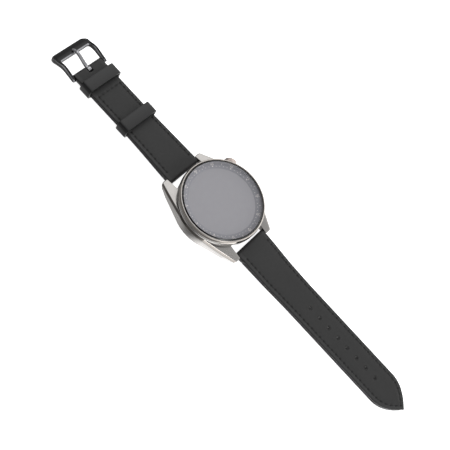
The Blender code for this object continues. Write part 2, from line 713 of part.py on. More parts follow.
def upper_leather(level, fold_end):
    """Top layer, wrapped down round the spring bar and round the buckle bar."""
    fold_radius = STRAP_THICKNESS / 2
    bar = fold_end - fold_radius
    layer_end = bar - BAR_FOLD_RUN
    count = int((layer_end - FOLD_RUN) / 4) + 1
    stations = folded_end() + [lerp(FOLD_RUN, layer_end, k / count) for k in range(count + 1)]
    stations += [layer_end + SPLIT_RUN / 2, layer_end + SPLIT_RUN, bar - 4.0, bar - 2.0]
    stations += [bar + step for step in round_end(fold_radius)]
    split = [(FOLD_RUN / 2, 0.0), (FOLD_RUN, 1.0), (layer_end, 1.0), (layer_end + SPLIT_RUN, 0.0)]
    sections = []
    for y in stations:
        bottom, top = strap_levels(y, level)
        bottom = split_bottom(bottom, top, ramp(split, y))
        if y > bar:
            close = math.sqrt(1 - ((y - bar) / fold_radius) ** 2)
            middle = (bottom + top) / 2
            bottom = lerp(middle, bottom, close)
            top = lerp(middle, top, close)
        sections.append(strap_section(y, strap_width(y) / 2, bottom, top))
    return skin(sections)


def lining(level, start, end, point_length=0.0):
    count = max(6, int((end - start) / 4))
    sections = []
    for k in range(count + 1):
        y = lerp(start, end, k / count)
        bottom, top = strap_levels(y, level)
        top -= LEATHER_LAYER + GAP / 2
        half = strap_width(y) / 2
        if point_length:
            half = tail_half_width(y, end) - LINING_INSET
        sections.append(strap_section(y, half, bottom, top))
    return skin(sections)


def tail_half_width(y, tip):
    """Half width of the tail, which closes in two arcs to a soft point."""
    half = strap_width(y) / 2
    start = tip - TAIL_POINT_LENGTH
    if y <= start:
        return half
    along = (y - start) / TAIL_POINT_LENGTH
    return max(TAIL_TIP_HALF, half * (1 - along ** TAIL_CURVE))


def lower_leather(level, tip):
    body_end = tip - TAIL_POINT_LENGTH
    count = int((body_end - FOLD_RUN) / 5)
    stations = folded_end() + [lerp(FOLD_RUN, body_end, k / count) for k in range(count + 1)]
    stations += [body_end + TAIL_POINT_LENGTH * t for t in (0.2, 0.4, 0.55, 0.7, 0.82, 0.92, 0.985)]
    split = [(FOLD_RUN / 2, 0.0), (FOLD_RUN, 1.0)]
    sections = []
    for y in stations:
        bottom, top = strap_levels(y, level)
        bottom = split_bottom(bottom, top, ramp(split, y))
        sections.append(strap_section(y, tail_half_width(y, tip), bottom, top))
    return skin(sections)


def knob_slot(radius, bottom):
    """Cutter for the room that the release knob needs under the bar."""
    low = KNOB_X - RELEASE_TRAVEL - KNOB_RADIUS - GAP
    high = KNOB_X + KNOB_RADIUS + GAP
    return block((low, -radius, bottom), (high, radius, 0.0))


def make_spring_bar(prefix, strap, leather, steel):
    """Quick-release spring bar: tube with a fixed tip, and the sprung pin with its knob."""
    tube_end = LUG_GAP / 2 - TUBE_END_GAP
    reach = LUG_GAP / 2 + PIN_REACH
    bore = TUBE_RADIUS - TUBE_WALL
    outline = [(0, -reach), (PIN_RADIUS, -reach), (PIN_RADIUS, -tube_end), (TUBE_RADIUS, -tube_end),
               (TUBE_RADIUS, tube_end), (bore, tube_end), (bore, TUBE_BLIND_X), (0, TUBE_BLIND_X)]
    tube = piece(prefix + "_bar_tube", turned(outline, SMALL_STEPS, "X"), steel, strap)
    combine(tube, knob_slot(KNOB_RADIUS + GAP, -TUBE_RADIUS - 1))
    combine(leather, rod_x(TUBE_RADIUS + GAP, -LUG_GAP, LUG_GAP))
    combine(leather, knob_slot(KNOB_RADIUS + GAP, -LUG_END_THICKNESS))
    release = body(prefix + "_release", parent=strap)
    pin = piece(prefix + "_release_pin", rod_x(PIN_RADIUS, PIN_INNER_X, reach), steel, release)
    knob = moved(disc(KNOB_RADIUS, -LUG_END_THICKNESS / 2 + 0.1, -PIN_RADIUS / 2, 16), KNOB_X)
    combine(pin, knob, "UNION")


# Buckle half -----------------------------------------------------------------

def keeper_loop(half_width, bottom, top, corner, steps=5):
    """Rounded rectangle in the XZ plane."""
    points = []
    corners = [(half_width - corner, top - corner, 0), (corner - half_width, top - corner, 90),
               (corner - half_width, bottom + corner, 180), (half_width - corner, bottom + corner, 270)]
    for x, z, first in corners:
        for k in range(steps + 1):
            angle = math.radians(first + 90 * k / steps)
            points.append((x + corner * math.cos(angle), z + corner * math.sin(angle)))
    return points


def keeper(centre, half_inner, bottom, top):
    """A leather band round the strap, bent to a loop with room for the tail."""
    outer = keeper_loop(half_inner + KEEPER_WALL, bottom, top, KEEPER_WALL + KEEPER_CORNER)
    inner = keeper_loop(half_inner, bottom + KEEPER_WALL, top - KEEPER_WALL, KEEPER_CORNER)
    start = centre - KEEPER_WIDTH / 2
    end = centre + KEEPER_WIDTH / 2
    loops = [(outer, start), (outer, end), (inner, end), (inner, start)]
    return skin([[(x, y, z) for x, z in loop] for loop, y in loops], closed=True)


def strap_middle():
    """Height of the upper strap's middle, which rests in its keepers; the buckle bar is in it."""
    return KEEPER_WALL + GAP + STRAP_THICKNESS / 2


def buckle_heights(y):
    """Bottom and top of the buckle at a distance from its bar; the arms arch up and come down."""
    low = strap_middle() - BUCKLE_BAR_DROP
    high = strap_middle() + BUCKLE_BAR_RISE
    crest = high + BUCKLE_CREST
    top = ramp([(-BUCKLE_BACK, high), (BUCKLE_ARCH, crest),
                (BUCKLE_LENGTH - BUCKLE_NECK, high + BUCKLE_NECK_RISE),
                (BUCKLE_LENGTH, BUCKLE_FRONT_HEIGHT)], y)
    bottom = ramp([(-BUCKLE_BACK, low), (BUCKLE_ARCH, low + BUCKLE_ARM_LIFT), (BUCKLE_LENGTH, 0.0)], y)
    return bottom, top


def buckle_path(half_width, front, corner, corner_steps=6):
    """From the end of one arm round the front to the end of the other."""
    arm = [(-half_width, lerp(-BUCKLE_ARM_BACK, front - corner, k / 6)) for k in range(6)]
    curve = []
    for k in range(corner_steps + 1):
        angle = math.pi / 2 * k / corner_steps
        curve.append((-half_width + corner * (1 - math.cos(angle)),
                      front - corner * (1 - math.sin(angle))))
    half = arm + curve
    return half + [(-x, y) for x, y in reversed(half)]


def buckle_section(outer, inner, base):
    """Outline across the buckle, flat on top between two chamfered edges."""
    upper = []
    lower = []
    for share, edge in ((0.0, BUCKLE_EDGE), (0.3, 0.0), (0.8, 0.0), (1.0, BUCKLE_EDGE)):
        x = lerp(outer[0], inner[0], share)
        y = lerp(outer[1], inner[1], share)
        bottom, top = buckle_heights(y)
        upper.append((x, y, top - edge - base))
        lower.append((x, y, bottom + edge / 2 - base))
    return upper + lower[::-1]


def make_buckle(strap, finishes, pivot):
    """Frame and tongue, both swinging on the buckle bar."""
    buckle = body("buckle", pivot, parent=strap)
    steel = finishes["black_steel"]
    inner_half = STRAP_NARROW_WIDTH / 2 + GAP
    outer_half = inner_half + BUCKLE_ARM
    opening_end = BUCKLE_LENGTH - BUCKLE_FRONT_BAR
    outer = buckle_path(outer_half, BUCKLE_LENGTH, BUCKLE_CORNER)
    inner = buckle_path(inner_half, opening_end, BUCKLE_INNER_CORNER)
    sections = [buckle_section(a, b, strap_middle()) for a, b in zip(outer, inner)]
    frame = piece("buckle_frame", skin(sections), steel, buckle)
    bore_end = outer_half - BUCKLE_SKIN
    combine(frame, rod_x(BUCKLE_BAR_RADIUS + GAP, -bore_end, bore_end))
    make_tongue(buckle, steel, opening_end)


def make_tongue(buckle, steel, opening_end):
    """Ring round the bar and a slim arm whose tip rests on the front bar."""
    bore = BUCKLE_BAR_RADIUS + GAP
    eye_radius = bore + TONGUE_WALL
    half_width = TONGUE_WIDTH / 2
    swing = body("tongue", parent=buckle)
    eye = turned([(bore, -half_width), (eye_radius, -half_width), (eye_radius, half_width),
                  (bore, half_width)], 32, "X")
    tongue = piece("buckle_tongue", eye, steel, swing)
    root = bore + GAP
    landing = opening_end - TONGUE_LANDING
    tip = opening_end + TONGUE_HOOK
    sections = []
    steps = 12
    for k in range(steps + 1):
        y = lerp(root, tip, k / steps)
        _, frame_top = buckle_heights(y)
        low = frame_top - strap_middle() + GAP
        if y < landing:
            low = ramp([(root, 0.0), (landing, low)], y)
        high = low + ramp([(tip - 1.5, TONGUE_HEIGHT), (tip, TONGUE_TIP_HEIGHT)], y)
        half = ramp([(root, half_width), (tip, half_width - TONGUE_TAPER)], y)
        edge = high - TONGUE_EDGE
        sections.append([(-half, y, low), (half, y, low), (half, y, edge), (half - TONGUE_EDGE, y, high),
                         (TONGUE_EDGE - half, y, high), (-half, y, edge)])
    combine(tongue, skin(sections), "UNION")


def make_upper_strap(case, finishes):
    strap = body("upper_strap", (0, BAR_Y, BAR_Z), parent=case)
    level = strap_middle() - BAR_Z
    fold_end = UPPER_LENGTH + STRAP_THICKNESS / 2 + BAR_FOLD_GAP
    leather = piece("upper_strap_leather", upper_leather(level, fold_end), finishes["leather"], strap)
    bar_bore = rod_x(BUCKLE_BAR_RADIUS + GAP, -STRAP_WIDTH, STRAP_WIDTH, UPPER_LENGTH, level)
    combine(leather, bar_bore)
    slot = block((-TONGUE_SLOT / 2, UPPER_LENGTH - TONGUE_SLOT_BACK, level - STRAP_THICKNESS),
                 (TONGUE_SLOT / 2, fold_end + 1, level + STRAP_THICKNESS))
    combine(leather, slot)
    lining_end = UPPER_LENGTH - BAR_FOLD_RUN - BAR_FOLD_GAP
    piece("upper_strap_lining", lining(level, LINING_START, lining_end), finishes["lining"], strap)
    bar_half = STRAP_NARROW_WIDTH / 2 + BUCKLE_ARM - BUCKLE_SKIN
    bar = rod_x(BUCKLE_BAR_RADIUS, -bar_half, bar_half, UPPER_LENGTH, level)
    piece("buckle_bar", bar, finishes["black_steel"], strap)
    make_spring_bar("upper", strap, leather, finishes["steel"])
    innermost = UPPER_LENGTH - SLIDING_KEEPER_BACK - KEEPER_BACK_TRAVEL - KEEPER_WIDTH / 2
    half_inner = max(strap_width(innermost), STRAP_NARROW_WIDTH) / 2 + KEEPER_SIDE_GAP
    keeper_top = KEEPER_WALL * 2 + GAP + STRAP_THICKNESS + KEEPER_ROOM
    sliding = body("sliding_keeper_slide", (0, UPPER_LENGTH - SLIDING_KEEPER_BACK, 0), parent=strap)
    for name, centre, parent in (("fixed_keeper", UPPER_LENGTH - FIXED_KEEPER_BACK, strap),
                                 ("sliding_keeper", 0.0, sliding)):
        loop = keeper(centre, half_inner, -BAR_Z, keeper_top - BAR_Z)
        piece(name, loop, finishes["leather"], parent)
    make_buckle(strap, finishes, (0, UPPER_LENGTH, level))


def make_lower_strap(case, finishes):
    """The tail half, modelled like the other half and turned to point to 6 o'clock."""
    strap = body("lower_strap", (0, -BAR_Y, BAR_Z), 180.0, case)
    level = STRAP_THICKNESS / 2 - BAR_Z
    leather = piece("lower_strap_leather", lower_leather(level, LOWER_LENGTH), finishes["leather"], strap)
    lining_end = LOWER_LENGTH - LINING_TIP_INSET
    under = piece("lower_strap_lining", lining(level, LINING_START, lining_end, TAIL_POINT_LENGTH),
                  finishes["lining"], strap)
    first_hole = LOWER_LENGTH - LAST_HOLE_BACK - (HOLE_COUNT - 1) * HOLE_PITCH
    for part in (leather, under):
        holes = []
        for k in range(HOLE_COUNT):
            hole = disc(HOLE_RADIUS, level - STRAP_THICKNESS, level + STRAP_THICKNESS, 16)
            holes.append(moved(hole, y=first_hole + k * HOLE_PITCH))
        combine(part, joined(holes))
    make_spring_bar("lower", strap, leather, finishes["steel"])


# Build -----------------------------------------------------------------------

def make_finishes():
    return {
        "titanium": material("titanium", (0.45, 0.43, 0.40), 0.35, 1.0),
        "polished": material("polished_titanium", (0.62, 0.57, 0.54), 0.15, 1.0),
        "steel": material("steel", (0.60, 0.60, 0.60), 0.30, 1.0),
        "black_steel": material("black_steel", (0.06, 0.06, 0.06), 0.25, 1.0),
        "glass": material("glass", (0.28, 0.28, 0.32), 0.05),
        "dial": material("dial_print", (0.24, 0.24, 0.26), 0.40),
        "screen": material("screen", (0.28, 0.27, 0.30), 0.30),
        "dark_glass": material("dark_glass", (0.02, 0.02, 0.02), 0.10),
        "ceramic": material("ceramic", (0.03, 0.03, 0.03), 0.25),
        "rubber": material("rubber", (0.02, 0.02, 0.02), 0.80),
        "plastic": material("plastic", (0.08, 0.08, 0.08), 0.60),
        "board": material("board", (0.02, 0.14, 0.06), 0.50),
        "copper": material("copper", (0.72, 0.36, 0.20), 0.35, 1.0),
        "foil": material("battery_foil", (0.50, 0.50, 0.52), 0.40, 1.0),
        "leather": material("leather", (0.045, 0.045, 0.045), 0.60),
        "lining": material("lining", (0.035, 0.033, 0.032), 0.70),
    }


def main():
    for old in list(bpy.data.objects):
        bpy.data.objects.remove(old, do_unlink=True)
    finishes = make_finishes()
    case = body("case")
    make_mid_case(case, finishes["titanium"])
    make_back(case, finishes)
    make_bezel_and_glass(case, finishes)
    make_inside(case, finishes)
    make_crown(case, finishes)
    make_button(case, finishes)
    make_upper_strap(case, finishes)
    make_lower_strap(case, finishes)


main()
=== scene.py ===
"""Looks of a round smartwatch: titanium case on a black leather strap with a pin buckle.

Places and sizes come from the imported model, or are named in the section of the piece.
Sections work in millimetres, and MM turns them into the frame's metres.
"""
import json
import math

import bmesh
import bpy
import numpy as np
from mathutils import Matrix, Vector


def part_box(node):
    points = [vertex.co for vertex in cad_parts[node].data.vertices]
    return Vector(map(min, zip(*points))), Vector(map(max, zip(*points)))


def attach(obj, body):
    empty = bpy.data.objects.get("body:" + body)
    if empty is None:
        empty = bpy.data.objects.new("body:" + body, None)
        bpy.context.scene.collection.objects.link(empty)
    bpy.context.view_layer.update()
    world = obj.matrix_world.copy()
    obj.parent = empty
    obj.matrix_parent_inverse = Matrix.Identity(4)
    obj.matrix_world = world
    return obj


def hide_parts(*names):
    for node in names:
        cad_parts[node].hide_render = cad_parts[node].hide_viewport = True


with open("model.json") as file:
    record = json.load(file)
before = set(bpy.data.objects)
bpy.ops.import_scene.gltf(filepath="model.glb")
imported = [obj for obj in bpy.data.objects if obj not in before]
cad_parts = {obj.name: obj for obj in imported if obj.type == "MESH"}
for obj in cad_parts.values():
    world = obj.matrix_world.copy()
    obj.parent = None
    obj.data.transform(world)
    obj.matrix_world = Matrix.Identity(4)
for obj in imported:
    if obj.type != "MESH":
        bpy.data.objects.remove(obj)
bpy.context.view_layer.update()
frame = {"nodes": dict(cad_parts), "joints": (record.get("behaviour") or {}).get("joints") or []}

MM = 0.001

# Camera ----------------------------------------------------------------------
# A short telephoto lens looks down on the dial from the 9 o'clock side, rolled so
# that the strap runs from the buckle at the upper left to the tail at the lower right.
CAMERA_AZIMUTH = 272.142
CAMERA_ELEVATION = 59.985
CAMERA_ROLL = -45.298
CAMERA_DISTANCE = 409.44
CAMERA_LENS = 62.559
DIAL_HEIGHT = 13.0
CAMERA_SLIDE = (0.948, -12.981)


def camera_axes():
    """Right, up and backward unit vectors: azimuth and elevation first, then the roll."""
    azimuth, elevation, roll = np.radians([CAMERA_AZIMUTH, CAMERA_ELEVATION, CAMERA_ROLL])
    level = math.cos(elevation)
    back = np.array([math.sin(azimuth) * level, -math.cos(azimuth) * level, math.sin(elevation)])
    side = np.array([math.cos(azimuth), math.sin(azimuth), 0.0])
    top = np.cross(back, side)
    right = math.cos(roll) * side - math.sin(roll) * top
    up = math.sin(roll) * side + math.cos(roll) * top
    return right, up, back


camera_right, camera_up, camera_back = camera_axes()
camera_pose = np.eye(4)
camera_pose[:3, :3] = np.stack([camera_right, camera_up, camera_back], axis=1)
camera_pose[:3, 3] = MM * (np.array([0, 0, DIAL_HEIGHT]) + CAMERA_DISTANCE * camera_back
                           + CAMERA_SLIDE[0] * camera_right + CAMERA_SLIDE[1] * camera_up)
camera_data = bpy.data.cameras.new("camera")
camera_data.lens = CAMERA_LENS
camera_data.clip_start = 0.01
camera = bpy.data.objects.new("camera", camera_data)
camera.matrix_world = Matrix(camera_pose)
bpy.context.scene.collection.objects.link(camera)
bpy.context.scene.camera = camera


# Table and studio light --------------------------------------------------------
# A sheet of white card under a tent of white cloth: soft boxes behind the cloth on the
# far side and in front at 7 o'clock, and black cloth round the camera, which the metal shows.
CARD_SIZE = 9000.0
CARD_STEPS = 60
CARD_GAP = 0.05         # keeps the back window clear of the card
CARD_WHITE = "#f4f4f4"
CARD_GLOW = 0.85        # the card is lit from below, so that shadows stay faint
TENT_FLOOR_LIGHT = 0.24
TENT_CLOTH_LIGHT = 1.05
TENT_LEAST_LIGHT = 0.05
# direction, half width in degrees, strength added to the tent
SOFT_BOXES = [
    ((-0.05, -0.55, -0.85), 42, 2.4),
    ((-0.25, 0.47, -0.85), 30, 0.55),
    ((0.90, -0.25, -0.30), 60, 1.0),
    ((0.50, -0.85, 0.00), 40, 0.9),
    ((0.50, 0.42, 0.76), 26, 0.75),
    ((-0.50, -0.71, 0.49), 30, 0.1),
    ((-0.27, -0.71, 0.65), 13, 5.0),
    ((-0.72, 0.05, 0.69), 44, -0.95),
    ((-0.48, 0.74, 0.47), 38, -0.95),
    ((0.45, -0.40, 0.78), 24, -0.40),
    ((0.30, 0.88, 0.36), 34, -0.60),
]


def linear(hex_colour):
    """An sRGB hex colour as linear RGBA."""
    channels = [int(hex_colour[i:i + 2], 16) / 255 for i in (1, 3, 5)]
    return [c / 12.92 if c <= 0.04045 else ((c + 0.055) / 1.055) ** 2.4 for c in channels] + [1.0]


def add(tree, kind, sockets=(), **settings):
    """Add a node; sockets pairs each input's name or number with a value or an output to link."""
    made = tree.nodes.new(kind)
    for key, value in settings.items():
        setattr(made, key, value)
    for key, value in dict(sockets).items():
        if isinstance(value, bpy.types.NodeSocket):
            tree.links.new(value, made.inputs[key])
        else:
            made.inputs[key].default_value = value
    return made


def finish(name, **constants):
    """A new material with its shader's constant sockets set, underscores standing for spaces."""
    made = bpy.data.materials.new(name)
    made.use_nodes = True
    shader = made.node_tree.nodes["Principled BSDF"]
    for key, value in constants.items():
        shader.inputs[key.replace("_", " ")].default_value = value
    return made, made.node_tree, shader


def wire(shader, **sources):
    """Link outputs to a shader's sockets, underscores standing for spaces."""
    for key, source in sources.items():
        shader.id_data.links.new(source, shader.inputs[key.replace("_", " ")])


def grid(points, uv=None, paint=0):
    """Quads between neighbours in a (rows, columns, 3) array of points in mm."""
    rows, columns = points.shape[:2]
    index = np.arange(rows * columns).reshape(rows, columns)
    quads = np.stack([index[:-1, :-1], index[1:, :-1], index[1:, 1:], index[:-1, 1:]], -1)
    if uv is None:
        uv = np.zeros((rows, columns, 2))
    paint = np.broadcast_to(paint, (rows - 1, columns - 1))
    return points.reshape(-1, 3), quads.reshape(-1, 4), uv.reshape(-1, 2), paint.reshape(-1)


def closed_mesh(name, grids, finishes, sharp=35):
    """One mesh from grids: equal points are merged and faces turned outwards."""
    starts = np.cumsum([0] + [len(g[0]) for g in grids[:-1]])
    points = np.concatenate([g[0] for g in grids]) * MM
    quads = np.concatenate([g[1] + start for g, start in zip(grids, starts)])
    uv = np.concatenate([g[2] for g in grids])
    mesh = bpy.data.meshes.new(name)
    mesh.from_pydata(points, [], quads)
    mesh.uv_layers.new(name="Surface").data.foreach_set("uv", uv[quads.reshape(-1)].reshape(-1))
    for material in finishes:
        mesh.materials.append(material)
    mesh.polygons.foreach_set("material_index", np.concatenate([g[3] for g in grids]))
    bm = bmesh.new()
    bm.from_mesh(mesh)
    bmesh.ops.remove_doubles(bm, verts=bm.verts, dist=0.002 * MM)
    bmesh.ops.recalc_face_normals(bm, faces=bm.faces)
    bm.to_mesh(mesh)
    bm.free()
    mesh.shade_smooth()
    mesh.set_sharp_from_angle(angle=math.radians(sharp))
    return mesh


def place(name, mesh, body, hides=()):
    """Show a mesh as a piece that moves with a body and stands for CAD nodes."""
    piece = bpy.data.objects.new(name, mesh)
    bpy.context.scene.collection.objects.link(piece)
    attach(piece, body)
    if hides:
        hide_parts(*hides)
    return piece


# Uncoated white card: matt and even, with fibres of about a millimetre that hardly show.
card_paper, tree, shader = finish("white_card", Roughness=0.9, Emission_Color=linear("#ffffff"),
                                  Emission_Strength=CARD_GLOW)
fibre = add(tree, "ShaderNodeTexNoise", {"Scale": 900.0, "Detail": 3.0}).outputs["Fac"]
tint = add(tree, "ShaderNodeMix", {0: fibre, 6: linear(CARD_WHITE), 7: linear("#ffffff")},
           data_type="RGBA").outputs[2]
wire(shader, Base_Color=tint)
reach = np.linspace(-CARD_SIZE / 2, CARD_SIZE / 2, CARD_STEPS)
card_x, card_y = np.meshgrid(reach, reach, indexing="ij")
card_points = np.stack([card_x, card_y, np.full_like(card_x, -CARD_GAP)], -1)
card_mesh = closed_mesh("card", [grid(card_points)], [card_paper])
card = bpy.data.objects.new("card", card_mesh)
card.visible_glossy = False
bpy.context.scene.collection.objects.link(card)

tent = bpy.data.worlds.new("tent")
tent.use_nodes = True
tree = tent.node_tree
direction = add(tree, "ShaderNodeTexCoord").outputs["Generated"]
height = add(tree, "ShaderNodeSeparateXYZ", {0: direction}).outputs["Z"]
light = add(tree, "ShaderNodeMapRange", {0: height, 1: -0.35, 2: 0.3, 3: TENT_FLOOR_LIGHT,
            4: TENT_CLOTH_LIGHT}, interpolation_type="SMOOTHSTEP").outputs[0]
for aim, half_width, strength in SOFT_BOXES:
    unit = np.array(aim) / np.linalg.norm(aim)
    facing = add(tree, "ShaderNodeVectorMath", {0: direction, 1: unit},
                 operation="DOT_PRODUCT").outputs[1]
    lobe = add(tree, "ShaderNodeMapRange", {0: facing, 1: math.cos(math.radians(half_width)), 2: 1.0,
               3: 0.0, 4: strength}, interpolation_type="SMOOTHSTEP").outputs[0]
    light = add(tree, "ShaderNodeMath", {0: light, 1: lobe}, operation="ADD").outputs[0]
light = add(tree, "ShaderNodeMath", {0: light, 1: TENT_LEAST_LIGHT}, operation="MAXIMUM").outputs[0]
tree.links.new(light, tree.nodes["Background"].inputs["Strength"])
tree.nodes["Background"].inputs["Color"].default_value = linear("#ffffff")
bpy.context.scene.world = tent
bpy.context.scene.view_settings.view_transform = "Standard"


# Case middle with wings and lugs -----------------------------------------------
# Machined from one bar of grade 5 titanium: a round wall with a wing down each side whose
# ends droop to the lugs. Brushed along the sides, with a polished chamfer on each wing.
MIDDLE = dict(radius=23.4, bottom=2.3, top=9.1, edge=0.5, opening=21.5, cavity=20.2, shelf=18.2,
              shelf_bottom=8.1, ledge=4.3)
WING_ROOT = 22.4
WING_CHAMFER = 1.1
WING_STEP = 0.1         # the wing's top lies this far under the wall's
WING_ROWS = 70
WING_ROUND = 0.16
TOP_FALL = 0.85         # powers of the wing's fall towards the lug's tip
BOTTOM_FALL = 1.3
LUG_TIP = dict(x=15.5, bottom=0.8, top=4.2, lean=1.8, run=6.0, inset=1.6, edge=0.4)
LUG_GAP = 22.4
LUG_BORE = dict(radius=0.6, reach=12.8)
CROWN_POCKET = dict(radius=4.0, floor=24.1, reach=34)
CROWN_TURN = math.radians(30)
BUTTON_POCKET = dict(length=7.0, height=3.0, start=22.5, end=29.0, edge=0.01)
BUTTON_TURN = math.radians(-30)
ROUND_STEPS = 288


def span(node):
    """Lowest and highest corner of a CAD node in mm."""
    low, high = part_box(node)
    return np.array(low) / MM, np.array(high) / MM


def eased(stops, at):
    """Values at an array of positions from (position, value) stops, eased with 3t^2 - 2t^3."""
    value = np.full_like(at, stops[0][1], dtype=float)
    for (p0, v0), (p1, v1) in zip(stops, stops[1:]):
        t = np.clip((at - p0) / (p1 - p0), 0, 1)
        value += (v1 - v0) * t * t * (3 - 2 * t)
    return value


def rounded(outline, radius, steps=4):
    """Closed outlines (..., corners, axes) with each corner eased by a parabola.

    The curve starts and ends radius from the corner, or halfway along a shorter edge.
    The first point is repeated at the end.
    """
    towards = [np.roll(outline, shift, axis=-2) - outline for shift in (1, -1)]
    ends = []
    for edge in towards:
        length = np.maximum(np.linalg.norm(edge, axis=-1, keepdims=True), 1e-9)
        ends.append(outline + edge / length * np.minimum(radius, length / 2))
    t = np.linspace(0, 1, steps)[:, None]
    start, corner, end = (a[..., None, :] for a in (ends[0], outline, ends[1]))
    curve = (1 - t) ** 2 * start + 2 * t * (1 - t) * corner + t ** 2 * end
    curve = curve.reshape(*outline.shape[:-2], -1, outline.shape[-1])
    return np.concatenate([curve, curve[..., :1, :]], axis=-2)


def turned(outline, steps=ROUND_STEPS, axis=(0, 0, 1), centre=(0, 0, 0), paint=None):
    """An outline of (radius, height) rows turned about an axis: centre + r(cos u + sin v) + h axis.

    UV is millimetres round the widest part and along the outline. paint gives each
    stretch of the outline its material number from its middle (radius, height).
    """
    outline = np.asarray(outline, float)
    w = np.array(axis, float)
    u = np.cross(w, (0, 0, 1)) if abs(w[2]) < 0.9 else np.array([1.0, 0, 0])
    u = u / np.linalg.norm(u)
    v = np.cross(w, u)
    angle = np.linspace(0, 2 * np.pi, steps + 1)
    spoke = np.cos(angle)[:, None] * u + np.sin(angle)[:, None] * v
    points = np.array(centre) + outline[None, :, :1] * spoke[:, None] + outline[None, :, 1:] * w
    along = np.concatenate([[0], np.cumsum(np.linalg.norm(np.diff(outline, axis=0), axis=1))])
    uv = np.stack(np.broadcast_arrays(angle[:, None] * outline[:, 0].max(), along[None]), -1)
    middles = (outline[1:] + outline[:-1]) / 2
    painted = 0 if paint is None else paint(middles[:, 0], middles[:, 1])[None]
    points[-1] = points[0]
    return grid(points, uv, painted)


def rod_grid(radius, start, end, steps, axis, centre):
    """A rod between two distances along an axis through centre, as a tool to cut with."""
    return turned([(0, start), (radius, start), (radius, end), (0, end)], steps, axis, centre)


def closed_ends(points):
    """Rows of closed outlines with each end shrunk to its middle."""
    ends = [np.broadcast_to(row.mean(axis=0), row.shape)[None] for row in (points[0], points[-1])]
    return np.concatenate([ends[0], points, ends[1]])


def carve(mesh, tool, operation="DIFFERENCE", sharp=35):
    """Cut a closed mesh from another, or join it on, and return the new mesh."""
    objects = [bpy.data.objects.new("carve", m) for m in (mesh, tool)]
    for each in objects:
        bpy.context.scene.collection.objects.link(each)
    modifier = objects[0].modifiers.new("carve", "BOOLEAN")
    modifier.operation = operation
    modifier.solver = "EXACT"
    modifier.object = objects[1]
    evaluated = objects[0].evaluated_get(bpy.context.evaluated_depsgraph_get())
    result = bpy.data.meshes.new_from_object(evaluated)
    for each in objects:
        bpy.data.objects.remove(each)
    result.shade_smooth()
    result.set_sharp_from_angle(angle=math.radians(sharp))
    return result


def wing_grid(side):
    """One wing, lofted along y through outlines in x and z.

    The plan follows the wing's circle, then its tangent to the lug tip; the heights fall
    from the case to the tip as powers of the distance from the tangent point.
    """
    _, (radius, tip_y, _) = span("mid_case")
    reach = math.hypot(LUG_TIP["x"], tip_y)
    angle = math.atan2(tip_y, LUG_TIP["x"]) - math.acos(radius / reach)
    tangent_x, tangent_y = radius * math.cos(angle), radius * math.sin(angle)
    end = np.linspace(0, 1, 6)[1:]
    half = np.concatenate([np.linspace(0, tip_y - LUG_TIP["edge"], WING_ROWS),
                           tip_y - LUG_TIP["edge"] * (1 - np.sin(end * np.pi / 2))])
    inset = np.concatenate([np.zeros(WING_ROWS), LUG_TIP["edge"] * (1 - np.cos(end * np.pi / 2))])
    along_y = np.concatenate([-half[:0:-1], half])
    inset = np.concatenate([inset[:0:-1], inset])
    y = np.abs(along_y)
    past = np.clip((y - tangent_y) / (tip_y - tangent_y), 0, 1)
    outer = np.where(past > 0, tangent_x + (LUG_TIP["x"] - tangent_x) * past,
                     np.sqrt(np.maximum(radius ** 2 - y ** 2, 0))) - inset
    inner = np.maximum(LUG_GAP / 2, np.sqrt(np.maximum(WING_ROOT ** 2 - y ** 2, 0))) + inset
    root_top = MIDDLE["top"] - WING_STEP
    top = root_top + (LUG_TIP["top"] - root_top) * past ** TOP_FALL - inset
    bottom = MIDDLE["bottom"] + (LUG_TIP["bottom"] - MIDDLE["bottom"]) * past ** BOTTOM_FALL + inset
    x = np.stack([inner, outer, outer, outer - WING_CHAMFER, inner], -1)
    z = np.stack([bottom, bottom, top - WING_CHAMFER * 0.75, top, top], -1)
    run = LUG_TIP["inset"] + LUG_TIP["run"]
    lean = eased([(0, 0), (1, LUG_TIP["lean"])], (y - tip_y + run) / run)
    shift = lean[:, None] * (top[:, None] - z) / (top - bottom)[:, None]
    leaning = np.sign(along_y)[:, None] * (y[:, None] - shift)
    points = closed_ends(rounded(np.stack([side * x, leaning, z], -1), WING_ROUND, 4))
    chamfer_paint = np.zeros(points.shape[1] - 1, int)
    chamfer_paint[10:13] = 1
    steps = np.linalg.norm(np.diff(points, axis=1), axis=-1)
    round_outline = np.concatenate([np.zeros((points.shape[0], 1)), steps.cumsum(axis=1)], axis=1)
    uv = np.stack([points[..., 1], round_outline], -1)
    return grid(points, uv, chamfer_paint[None])


